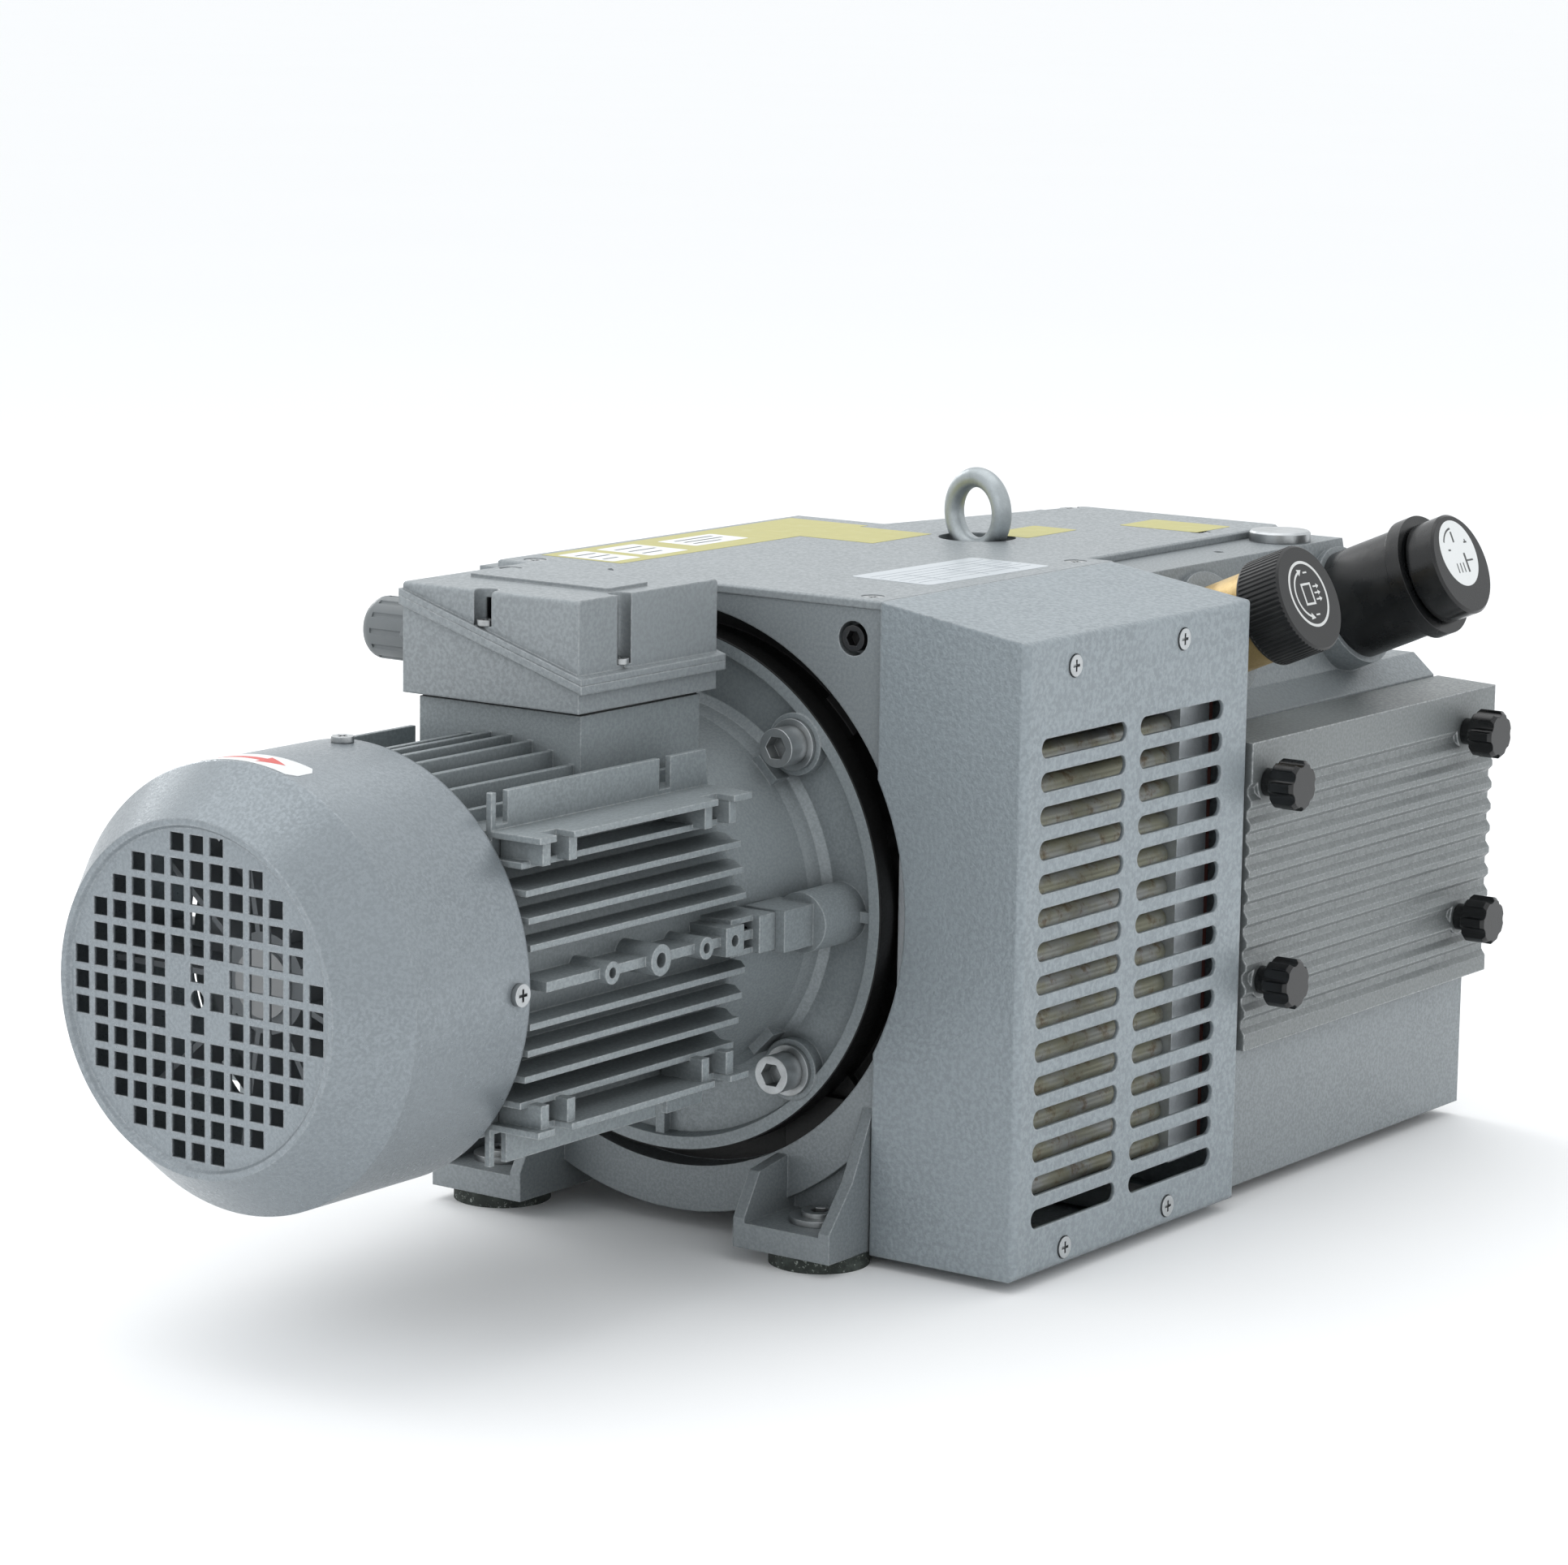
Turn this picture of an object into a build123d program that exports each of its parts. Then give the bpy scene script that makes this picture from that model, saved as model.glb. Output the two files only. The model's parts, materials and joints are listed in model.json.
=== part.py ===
"""Rotary vane vacuum pump with a flanged electric motor, as separate pieces.

Frame: millimetres, +X along the shaft from the motor's fan to the pump end, +Z up, floor at Z = 0.
The origin lies on the floor, in the middle of the four foot bolts.
"""
import os
from math import cos, hypot, pi, radians, sin

from build123d import *

os.makedirs("parts", exist_ok=True)

# ---------------------------------------------------------------- driving dimensions
SHAFT_HEIGHT = 164.0        # shaft axis above the floor
FOOT_SPACING_X = 330.0      # front foot bolts to rear foot bolts
FOOT_SPACING_Y = 188.0      # left foot bolts to right foot bolts
RUNNING = 0.05              # radial clearance of a shaft in its bore
SLIDING = 0.10              # clearance of a sliding piece on each side
FACE_GAP = 0.3              # air between faces that move past each other

# motor
FLANGE_FRONT = -165.0       # plane of the flange's outer rim, on the fan side
FLANGE_T = 12.0
FLANGE_R = 125.0
FLANGE_PCD = 215.0
SPIGOT_R = 90.0
SPIGOT_L = 4.0
MOTOR_BODY_R = 80.0
MOTOR_BORE_R = 74.0
MOTOR_LENGTH = 171.0        # finned length of the stator housing
HUB_LENGTH = 48.0           # end shield between the fins and the flange's rim
FIN_PITCH = 11.6
FIN_T = 2.8
FIN_FIRST = 17.0            # first side fin above and below the middle rail
SHAFT_R = 15.0
SHAFT_END_R = 14.0
COVER_R = 97.0
COVER_WALL = 1.6
COVER_LENGTH = 74.0
COVER_NOSE = 26.0
GRILLE_R = 74.5
GRILLE_PITCH = 10.9
GRILLE_HOLE = 7.7

# pump
CASTING_FRONT = FLANGE_FRONT + 9.0
MATING_X = FLANGE_FRONT + FLANGE_T
FAN_CHAMBER_L = 62.0        # cooling fan chamber behind the motor flange
CHAMBER_R = 108.0
AIR_GAP_R = 134.0           # outer radius of the air inlet around the flange
BODY_HALF_WIDTH = 117.0
BODY_BOTTOM = 7.0
LID_Z = 308.5               # top face of the lid
LID_T = 4.0
BORE_R = 80.0
ROTOR_R = 68.0
ECCENTRICITY = 11.7
CYLINDER_L = 174.0
CYLINDER_WALL = 12.0
END_PLATE_T = 18.0
VANE_COUNT = 7
VANE_T = 4.0
VANE_H = 34.0
VANE_TRAVEL = 3.0
PUMP_SHAFT_R = 16.0

# side hood
HOOD_START = -159.0
HOOD_END = 36.0
HOOD_REACH = 80.0           # the hood stands this far off the housing's side
HOOD_FACE = -BODY_HALF_WIDTH - HOOD_REACH
HOOD_BOTTOM = 5.5
HOOD_DROP = 12.0            # the hood's roof falls by this much to its outer edge
SHEET = 2.0
SLOT_ROWS = 15
SLOT_PITCH = 15.43
SLOT_H = 9.0
SLOT_FIRST_Z = 248.0

# filter side
FILTER_START = 39.0
FILTER_END = 285.0
FILTER_FACE = -198.0
FILTER_SEAM = -164.0
FILTER_TOP = 229.5
FILTER_BOTTOM = 77.5
HOUSING_END = 281.0
LOWER_FACE = -187.0
KNOB_X = (53.5, 254.0)
KNOB_Z = (111.0, 207.5)
VALVE_TILT = 23.5           # valve axes above the horizontal, degrees
VALVE_X = (80.0, 213.0)
UPPER_END = 226.0           # pump end of the raised body and of the lid

FOOT_X = (-FOOT_SPACING_X / 2, FOOT_SPACING_X / 2)
FOOT_Y = (-FOOT_SPACING_Y / 2, FOOT_SPACING_Y / 2)
FOOT_R = 23.5
FOOT_BOLT_R = 5.0
FOOT_WASHER_T = 3.0
FOOT_BOLT_GAP = 1.0         # the bolts end this far above the rubber, so the feet stay open from below
FOOT_HOLE_R = 5.5           # bore of a rubber foot
CASTING_HOLE_R = 6.0        # bolt hole in a cast foot


# ---------------------------------------------------------------- helpers
def save(piece: BuildPart, name: str) -> None:
    """Label a finished piece and write it as parts/<name>.step."""
    piece.part.label = name
    export_step(piece.part, f"parts/{name}.step")


def shaft_plane(x: float, rise: float = 0.0) -> Plane:
    """A plane across the shaft at x, its own x along +Y and its own y along +Z."""
    return Plane(origin=(x, 0, SHAFT_HEIGHT + rise), x_dir=(0, 1, 0), z_dir=(1, 0, 0))


def out_plane(x: float, y: float, z: float) -> Plane:
    """A plane at a point, facing -Y (out of the side that shows), its own x along +X."""
    return Plane(origin=(x, y, z), x_dir=(1, 0, 0), z_dir=(0, -1, 0))


def fan_side(x: float, y: float, z: float) -> Plane:
    """A plane at a point, facing -X (towards the fan end)."""
    return Plane(origin=(x, y, z), x_dir=(0, 1, 0), z_dir=(-1, 0, 0))


def up_plane(x: float, y: float, z: float) -> Plane:
    """A level plane at a point, facing up."""
    return Plane(origin=(x, y, z), x_dir=(1, 0, 0), z_dir=(0, 0, 1))


def disc(plane: Plane, radius: float, length: float, bore: float = 0.0, mode: Mode = Mode.ADD) -> None:
    """A round bar or tube that stands on a plane."""
    with BuildSketch(plane) as section:
        Circle(radius)
        if bore > 0:
            Circle(bore, mode=Mode.SUBTRACT)
    extrude(section.sketch, amount=length, mode=mode)


def tube(x0: float, x1: float, r_out: float, r_in: float = 0.0, mode: Mode = Mode.ADD,
         rise: float = 0.0) -> None:
    """A tube or bar along the shaft's axis from x0 to x1."""
    disc(shaft_plane(x0, rise), r_out, x1 - x0, r_in, mode)


def block(x: tuple, y: tuple, z: tuple, mode: Mode = Mode.ADD) -> None:
    """A box between two corners."""
    centre = ((x[0] + x[1]) / 2, (y[0] + y[1]) / 2, (z[0] + z[1]) / 2)
    with Locations(centre):
        Box(x[1] - x[0], y[1] - y[0], z[1] - z[0], mode=mode)


def prism(plane: Plane, points: list, length: float, mode: Mode = Mode.ADD) -> None:
    """A straight-sided profile stood on a plane."""
    with BuildSketch(plane) as section:
        with BuildLine():
            Polyline(*points, close=True)
        make_face()
    extrude(section.sketch, amount=length, mode=mode)


def hexagon(plane: Plane, across: float, length: float, mode: Mode = Mode.ADD) -> None:
    """A hexagonal bar, given across its flats."""
    with BuildSketch(plane) as section:
        RegularPolygon(across / 2, 6, major_radius=False)
    extrude(section.sketch, amount=length, mode=mode)


def socket_screw(plane: Plane, size: float, length: float) -> None:
    """A socket head cap screw: its head stands on the plane, its shank runs behind it."""
    disc(plane, size * 0.75, size)
    disc(plane, size / 2, -length)
    hexagon(plane.offset(size), size * 0.83, -size * 0.55, Mode.SUBTRACT)


def cross_screw(plane: Plane, head_r: float, head_h: float, shank_r: float, length: float) -> None:
    """A low cross-recess screw: its head stands on the plane."""
    disc(plane, head_r, head_h)
    disc(plane, shank_r, -length)
    with BuildSketch(plane.offset(head_h)) as cross:
        Rectangle(head_r * 1.1, head_r * 0.26)
        Rectangle(head_r * 0.26, head_r * 1.1)
    extrude(cross.sketch, amount=-head_h * 0.7, mode=Mode.SUBTRACT)


def diagonal(radius: float, angle: float) -> tuple:
    """A point of the shaft plane at a radius and an angle in degrees."""
    return (radius * cos(radians(angle)), radius * sin(radians(angle)))


# ---------------------------------------------------------------- motor
HOUSING_X0 = FLANGE_FRONT - HUB_LENGTH - MOTOR_LENGTH
HOUSING_X1 = FLANGE_FRONT - HUB_LENGTH
REAR_SHIELD_T = 14.0
REAR_SHIELD_X0 = HOUSING_X0 - REAR_SHIELD_T
COVER_REAR = HOUSING_X0 + 1.0
COVER_CREASE = COVER_REAR - COVER_LENGTH
COVER_FRONT = COVER_CREASE - COVER_NOSE
COVER_SCREW_X = COVER_REAR - 8.0
COVER_SCREW_R = 2.5
LUG_R = COVER_R - COVER_WALL - 0.2
BEARING_R = 31.0
BEARING_L = 16.0
REAR_BEARING_X = REAR_SHIELD_X0 - 4.0
FRONT_BEARING_X = MATING_X - BEARING_L - 6.0
SHAFT_END_X = MATING_X + 60.0
SHAFT_START_X = COVER_CREASE + 14.0
PLATE_OUT = 98.0            # reach of the corner plates that carry the bosses
PLATE_Z = FIN_FIRST + 4 * FIN_PITCH
PLATE_Y = 70.0
TOP_REACH = 81.0            # the corner plates' height above and below the shaft
TOP_FIN_R = 88.0            # round outline of the upright fins
SIDE_REACH = (93.0, 92.0, 90.5, 88.0)
BOX_X = (FLANGE_FRONT - 127.0, FLANGE_FRONT - 26.0)
BOX_HALF_Y = 50.0
BOX_BASE_Z = SHAFT_HEIGHT + 102.0
BOX_TOP_Z = SHAFT_HEIGHT + 152.0
PAD_X = (BOX_X[0] + 7.0, BOX_X[1] - 7.0)
PAD_HALF_Y = 46.0

with BuildPart() as fan_cover:
    with BuildSketch(Plane.XZ) as shell_profile:
        with BuildLine():
            outer = [(COVER_REAR, COVER_R), (COVER_CREASE, COVER_R), (COVER_FRONT, GRILLE_R + 3.0)]
            rim = [(COVER_FRONT - 2.0, GRILLE_R + 1.5), (COVER_FRONT - 2.0, GRILLE_R - 1.0)]
            plate = [(COVER_FRONT, GRILLE_R - 2.5), (COVER_FRONT, 0), (COVER_FRONT + COVER_WALL, 0)]
            inner = [(COVER_FRONT + COVER_WALL, GRILLE_R + 1.5), (COVER_CREASE, COVER_R - COVER_WALL)]
            Polyline(*outer, *rim, *plate, *inner, (COVER_REAR, COVER_R - COVER_WALL), close=True)
        make_face()
    revolve(Pos(0, 0, SHAFT_HEIGHT) * shell_profile.sketch, axis=Axis((0, 0, SHAFT_HEIGHT), (1, 0, 0)))
    grid_places = []
    for row in range(-6, 7):
        for column in range(-6, 7):
            beside_hub = abs(row) <= 1 and abs(column) <= 1 and abs(row) == abs(column)
            if hypot(row, column) <= 6.2 and not beside_hub:
                grid_places.append((column * GRILLE_PITCH, row * GRILLE_PITCH))
    with BuildSketch(shaft_plane(COVER_FRONT - 4.0)) as holes:
        with Locations(*grid_places):
            Rectangle(GRILLE_HOLE, GRILLE_HOLE)
        Circle(GRILLE_HOLE / 2)
    extrude(holes.sketch, amount=8.0, mode=Mode.SUBTRACT)
    for turn in range(4):
        spoke = Plane((COVER_SCREW_X, 0, SHAFT_HEIGHT), x_dir=(1, 0, 0),
                      z_dir=(0, cos(turn * pi / 2), sin(turn * pi / 2)))
        disc(spoke.offset(COVER_R - 6.0), COVER_SCREW_R, 10.0, mode=Mode.SUBTRACT)
save(fan_cover, "fan_cover")

with BuildPart() as fan_cover_screws:
    for turn in range(4):
        spoke = Plane((COVER_SCREW_X, 0, SHAFT_HEIGHT), x_dir=(1, 0, 0),
                      z_dir=(0, cos(turn * pi / 2), sin(turn * pi / 2)))
        cross_screw(spoke.offset(COVER_R + 0.05), 5.0, 2.6, COVER_SCREW_R - 0.2, 9.0)
save(fan_cover_screws, "fan_cover_screws")

with BuildPart() as motor_rear_shield:
    tube(REAR_SHIELD_X0, HOUSING_X0, MOTOR_BODY_R, BEARING_R)
    tube(REAR_SHIELD_X0 - 8.0, REAR_SHIELD_X0, BEARING_R + 7.0, BEARING_R)
    for turn in range(4):
        outward = (0, cos(turn * pi / 2), sin(turn * pi / 2))
        spoke = Plane((0, 0, SHAFT_HEIGHT), x_dir=(1, 0, 0), z_dir=outward)
        with BuildSketch(spoke.offset(MOTOR_BODY_R - 12.0)) as lug:
            with Locations(((REAR_SHIELD_X0 + HOUSING_X0) / 2, 0)):
                Rectangle(REAR_SHIELD_T, 16.0)
        extrude(lug.sketch, amount=LUG_R - 2.0 - (MOTOR_BODY_R - 12.0))
    for turn in range(4):
        spoke = Plane((COVER_SCREW_X, 0, SHAFT_HEIGHT), x_dir=(1, 0, 0),
                      z_dir=(0, cos(turn * pi / 2), sin(turn * pi / 2)))
        disc(spoke.offset(COVER_R - 12.0), COVER_SCREW_R, 12.0, mode=Mode.SUBTRACT)
save(motor_rear_shield, "motor_rear_shield")

FAN_X = (COVER_CREASE + 16.0, COVER_CREASE + 50.0)
with BuildPart() as motor_fan:
    tube(FAN_X[0], FAN_X[1], 22.0, SHAFT_R)
    tube(FAN_X[1] - 3.0, FAN_X[1], 60.0, 22.0)
    with BuildSketch(shaft_plane(FAN_X[0])) as blades:
        with PolarLocations(52.0, 9):
            Rectangle(66.0, 2.6)
        Circle(21.0, mode=Mode.SUBTRACT)
    extrude(blades.sketch, amount=FAN_X[1] - FAN_X[0])
save(motor_fan, "motor_fan")

with BuildPart() as motor_housing:
    tube(HOUSING_X0, HOUSING_X1, MOTOR_BODY_R)
    with BuildSketch(shaft_plane(HOUSING_X0 + 6.0)) as fins:
        for side in (-1, 1):
            for step, reach in enumerate(SIDE_REACH):
                for up in (-1, 1):
                    with Locations((side * reach / 2, up * (FIN_FIRST + step * FIN_PITCH))):
                        Rectangle(reach, FIN_T)
            for up in (-1, 1):
                with Locations((side * (PLATE_Y + PLATE_OUT) / 2 - side * 10, up * PLATE_Z)):
                    Rectangle(PLATE_OUT - PLATE_Y + 20, FIN_T)
                with Locations((side * PLATE_Y, up * (PLATE_Z - 10 + TOP_REACH) / 2)):
                    Rectangle(FIN_T, TOP_REACH - PLATE_Z + 10)
            for step in range(5):
                fin_y = FIN_PITCH * (step + 0.5)
                with Locations((side * fin_y, 0)):
                    Rectangle(FIN_T, 2 * (TOP_FIN_R ** 2 - fin_y ** 2) ** 0.5)
    extrude(fins.sketch, amount=MOTOR_LENGTH - 8.0)
    # the fins run out in a slope towards the flange
    with BuildSketch(Plane.XZ) as runout:
        with BuildLine():
            Polyline((HOUSING_X1 + 1, MOTOR_BODY_R + 2), (HOUSING_X1 + 1, 140), (HOUSING_X1 - 18, 140),
                     (HOUSING_X1 - 12, PLATE_OUT - 3), close=True)
        make_face()
    shaft_axis = Axis((0, 0, SHAFT_HEIGHT), (1, 0, 0))
    revolve(Pos(0, 0, SHAFT_HEIGHT) * runout.sketch, axis=shaft_axis, mode=Mode.SUBTRACT)
    # middle rails with screw bosses on both sides
    for side in (-1, 1):
        block((HOUSING_X0 + 12, HOUSING_X1 - 6), tuple(sorted((side * 70.0, side * 97.0))),
              (SHAFT_HEIGHT - 2.2, SHAFT_HEIGHT + 2.2))
        for boss_x, boss_r in ((-166.0, 5.0), (-131.5, 7.0), (-98.5, 5.0)):
            boss = (FLANGE_FRONT + boss_x, side * 76.0, SHAFT_HEIGHT)
            plane = Plane(boss, x_dir=(1, 0, 0), z_dir=(0, side, 0))
            disc(plane, boss_r, 24.5)
            disc(plane.offset(25.0), boss_r * 0.48, -12.0, mode=Mode.SUBTRACT)
        boss_x = FLANGE_FRONT - 77.5
        block((boss_x - 6.5, boss_x + 6.5), tuple(sorted((side * 74.0, side * 100.5))),
              (SHAFT_HEIGHT - 6.5, SHAFT_HEIGHT + 6.5))
        plane = Plane((boss_x, side * 101.0, SHAFT_HEIGHT), x_dir=(1, 0, 0), z_dir=(0, side, 0))
        disc(plane, 2.6, -12.0, mode=Mode.SUBTRACT)
        # lug that takes the tie bolt of the end shield
        block((HOUSING_X1 - 12, HOUSING_X1), tuple(sorted((side * 76.0, side * 101.0))),
              (SHAFT_HEIGHT - 8.5, SHAFT_HEIGHT + 8.5))
        for up in (-1, 1):
            block((HOUSING_X1 - 28, HOUSING_X1 - 12), tuple(sorted((side * 76.0, side * 97.0))),
                  tuple(sorted((SHAFT_HEIGHT + up * 8.5, SHAFT_HEIGHT + up * 6.0))))
        disc(shaft_plane(HOUSING_X1 - 13) * Pos(side * 92.0, 0, 0), 3.2, 20.0, mode=Mode.SUBTRACT)
        # pairs of notched lugs on the corner plates
        for up in (-1, 1):
            for lug_x in (-196.0, -82.0):
                for shift in (-9.0, 9.0):
                    centre_x = FLANGE_FRONT + lug_x + shift
                    inner_z = SHAFT_HEIGHT + up * (PLATE_Z - FIN_PITCH)
                    outer_z = SHAFT_HEIGHT + up * PLATE_Z
                    block((centre_x - 2.6, centre_x + 2.6), tuple(sorted((side * 72.0, side * 95.0))),
                          tuple(sorted((inner_z, outer_z))))
                notch_x = FLANGE_FRONT + lug_x
                block((notch_x - 6.0, notch_x + 6.0), tuple(sorted((side * 88.0, side * 99.0))),
                      tuple(sorted((SHAFT_HEIGHT + up * (PLATE_Z - FIN_T),
                                    SHAFT_HEIGHT + up * (PLATE_Z + FIN_T)))),
                      mode=Mode.SUBTRACT)
                block((notch_x - 14.0, notch_x - 6.0), tuple(sorted((side * 66.0, side * (PLATE_Y + FIN_T)))),
                      tuple(sorted((SHAFT_HEIGHT + up * (TOP_REACH - 14),
                                    SHAFT_HEIGHT + up * (TOP_REACH + 1)))), mode=Mode.SUBTRACT)
    # raised pad for the terminal box
    block(PAD_X, (-PAD_HALF_Y, PAD_HALF_Y), (SHAFT_HEIGHT + MOTOR_BODY_R - 14, BOX_BASE_Z - 2.0))
    block((PAD_X[0] + 12, PAD_X[1] - 12), (-PAD_HALF_Y + 12, PAD_HALF_Y - 12),
          (SHAFT_HEIGHT + 50, BOX_BASE_Z), mode=Mode.SUBTRACT)
    tube(HOUSING_X0 - 1, HOUSING_X1 + 1, MOTOR_BORE_R, mode=Mode.SUBTRACT)
    tube(HOUSING_X1, PAD_X[1] + 1, MOTOR_BODY_R + 4, mode=Mode.SUBTRACT)
save(motor_housing, "motor_housing")

STACK_X = (HOUSING_X0 + 32.0, HOUSING_X1 - 30.0)
STATOR_BORE_R = 47.0
WINDING_SLOT = (STATOR_BORE_R + 1.0, MOTOR_BORE_R - 10.0)
WINDING_MID_R = sum(WINDING_SLOT) / 2
WINDING_DEEP = WINDING_SLOT[1] - WINDING_SLOT[0]
with BuildPart() as stator_core:
    tube(STACK_X[0], STACK_X[1], MOTOR_BORE_R, STATOR_BORE_R)
    with BuildSketch(shaft_plane(STACK_X[0])) as slots:
        with PolarLocations(WINDING_MID_R, 24):
            Rectangle(WINDING_DEEP, 5.0)
    extrude(slots.sketch, amount=STACK_X[1] - STACK_X[0], mode=Mode.SUBTRACT)
save(stator_core, "stator_core")

with BuildPart() as stator_windings:
    tube(STACK_X[0] - 22, STACK_X[0], MOTOR_BORE_R - 6.0, STATOR_BORE_R + 2.0)
    tube(STACK_X[1], STACK_X[1] + 22, MOTOR_BORE_R - 6.0, STATOR_BORE_R + 2.0)
    with BuildSketch(shaft_plane(STACK_X[0] - 1)) as coils:
        with PolarLocations(WINDING_MID_R, 24):
            Rectangle(WINDING_DEEP - 1.0, 4.4)
    extrude(coils.sketch, amount=STACK_X[1] - STACK_X[0] + 2)
save(stator_windings, "stator_windings")

with BuildPart() as motor_rotor:
    tube(SHAFT_START_X, FRONT_BEARING_X + BEARING_L, SHAFT_R)
    tube(FRONT_BEARING_X + BEARING_L, SHAFT_END_X, SHAFT_END_R)
    chamfer(motor_rotor.edges().filter_by(GeomType.CIRCLE).sort_by(Axis.X)[-1], 1.0)
    tube(STACK_X[0], STACK_X[1], 46.6)
    tube(STACK_X[0] - 8, STACK_X[1] + 8, 44.0)
    tube(STACK_X[0] - 8, STACK_X[0], 32.0, SHAFT_R, mode=Mode.SUBTRACT)
    tube(STACK_X[1], STACK_X[1] + 8, 32.0, SHAFT_R, mode=Mode.SUBTRACT)
save(motor_rotor, "motor_rotor")

with BuildPart() as motor_bearings:
    for start in (REAR_BEARING_X, FRONT_BEARING_X):
        tube(start, start + BEARING_L, BEARING_R, SHAFT_R + RUNNING)
        for face in (start, start + BEARING_L - 0.8):
            tube(face, face + 0.8, BEARING_R - 5.0, SHAFT_R + 5.0, mode=Mode.SUBTRACT)
save(motor_bearings, "motor_bearings")

BOLT_ANGLES = (45, 135, 225, 315)
BOSS_FACE = FLANGE_FRONT - 0.5
with BuildPart() as motor_flange:
    with BuildSketch(Plane.XZ) as shield_profile:
        with BuildLine():
            hub = [(HOUSING_X1, MOTOR_BORE_R - 6), (HOUSING_X1, MOTOR_BODY_R),
                   (HOUSING_X1 + 8, MOTOR_BODY_R + 1.5)]
            web = [(FLANGE_FRONT - 4, 88), (FLANGE_FRONT + 3, 91), (FLANGE_FRONT + 6, 95),
                   (FLANGE_FRONT + 6, 117)]
            edge = [(FLANGE_FRONT, 118.5), (FLANGE_FRONT, FLANGE_R), (MATING_X, FLANGE_R),
                    (MATING_X, SPIGOT_R)]
            spigot = [(MATING_X + SPIGOT_L, SPIGOT_R), (MATING_X + SPIGOT_L, SHAFT_R + 6)]
            seat = [(MATING_X - 6.0, SHAFT_R + 6), (MATING_X - 6.0, BEARING_R),
                    (FRONT_BEARING_X - 4, BEARING_R)]
            cave = [(FRONT_BEARING_X - 4, 44), (MATING_X - 10, 50), (MATING_X - 10, 76),
                    (HOUSING_X1 + 12, 70)]
            Polyline(*hub, *web, *edge, *spigot, *seat, *cave, close=True)
        make_face()
    revolve(Pos(0, 0, SHAFT_HEIGHT) * shield_profile.sketch, axis=Axis((0, 0, SHAFT_HEIGHT), (1, 0, 0)))
    for angle in BOLT_ANGLES:
        spot = Pos(*diagonal(FLANGE_PCD / 2, angle), 0)
        disc(shaft_plane(BOSS_FACE) * spot, 14.5, FLANGE_FRONT + 8 - BOSS_FACE)
        with BuildSketch(shaft_plane(FLANGE_FRONT - 6)) as wedge:
            with Locations(Pos(*diagonal(85.5, angle), 0) * Rot(0, 0, angle)):
                Rectangle(13.0, 15.0)
        extrude(wedge.sketch, amount=13.0)
    for side in (0, 90, 180, 270):
        with BuildSketch(shaft_plane(FLANGE_FRONT + 1.5)) as rib:
            with Locations(Pos(*diagonal(105.0, side), 0) * Rot(0, 0, side)):
                Rectangle(32.0, 5.0)
        extrude(rib.sketch, amount=6.0)
    for side in (-1, 1):
        spot = Pos(side * 99.0, 0, 0)
        disc(shaft_plane(FLANGE_FRONT - 26) * spot, 14.0, 33.0)
        block((HOUSING_X1 + 0.1, FLANGE_FRONT - 22), tuple(sorted((side * 84.0, side * 106.0))),
              (SHAFT_HEIGHT - 9.5, SHAFT_HEIGHT + 9.5))
    for angle in BOLT_ANGLES:
        spot = Pos(*diagonal(FLANGE_PCD / 2, angle), 0)
        disc(shaft_plane(FLANGE_FRONT - 2) * spot, 7.25, FLANGE_T + 4, mode=Mode.SUBTRACT)
    tube(HOUSING_X1 - 1, HOUSING_X1 + 12, MOTOR_BORE_R - 6, mode=Mode.SUBTRACT)
save(motor_flange, "motor_flange")

WASHER_T = 2.5
with BuildPart() as flange_washers:
    for angle in BOLT_ANGLES:
        spot = Pos(*diagonal(FLANGE_PCD / 2, angle), 0)
        disc(shaft_plane(BOSS_FACE - WASHER_T) * spot, 12.0, WASHER_T, 6.5)
save(flange_washers, "flange_washers")

with BuildPart() as flange_bolts:
    for angle in BOLT_ANGLES:
        spot_y, spot_z = diagonal(FLANGE_PCD / 2, angle)
        socket_screw(fan_side(BOSS_FACE - WASHER_T, spot_y, SHAFT_HEIGHT + spot_z), 12.0, 30.0)
save(flange_bolts, "flange_bolts")

# ---------------------------------------------------------------- terminal box
GASKET_T = 2.0
WALL = 4.0
PARTING_LOW = BOX_BASE_Z + 14.0     # parting line at the -Y side
PARTING_HIGH = BOX_BASE_Z + 44.0    # parting line at the +Y side
BOX_L = BOX_X[1] - BOX_X[0]
BOX_SCREW_R = 2.0
GLAND_X = FLANGE_FRONT - 97.0
GLAND_Z = BOX_BASE_Z + 23.0
GLAND_R = 12.5
side_plane = Plane(origin=(BOX_X[0], 0, 0), x_dir=(0, 1, 0), z_dir=(1, 0, 0))


def parting_z(y: float) -> float:
    """Height of the terminal box's sloping parting line at y."""
    return PARTING_LOW + (PARTING_HIGH - PARTING_LOW) * (y + BOX_HALF_Y) / (2 * BOX_HALF_Y)


def parting_rim(low: float, high: float) -> None:
    """The flange of one half of the terminal box, between two heights over the parting line."""
    y0, y1 = -BOX_HALF_Y - 3.5, BOX_HALF_Y + 0.5
    prism(side_plane.offset(-2.5), [(y0, parting_z(y0) + low), (y0, parting_z(y0) + high),
                                    (y1, parting_z(y1) + high), (y1, parting_z(y1) + low)], BOX_L + 5.0)


BOX_SCREWS = [((BOX_X[0] + BOX_X[1]) / 2 - 18.0, -BOX_HALF_Y + 2.5), (BOX_X[0] + 2.5, 4.0),
              ((BOX_X[0] + BOX_X[1]) / 2 + 18.0, BOX_HALF_Y - 6.5), (BOX_X[1] - 2.5, 4.0)]
SCREW_POCKET_R = 5.5
box_inside = (BOX_X[0] + WALL + 3, BOX_X[1] - WALL - 3), (-BOX_HALF_Y + WALL + 3, BOX_HALF_Y - WALL - 7)

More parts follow.
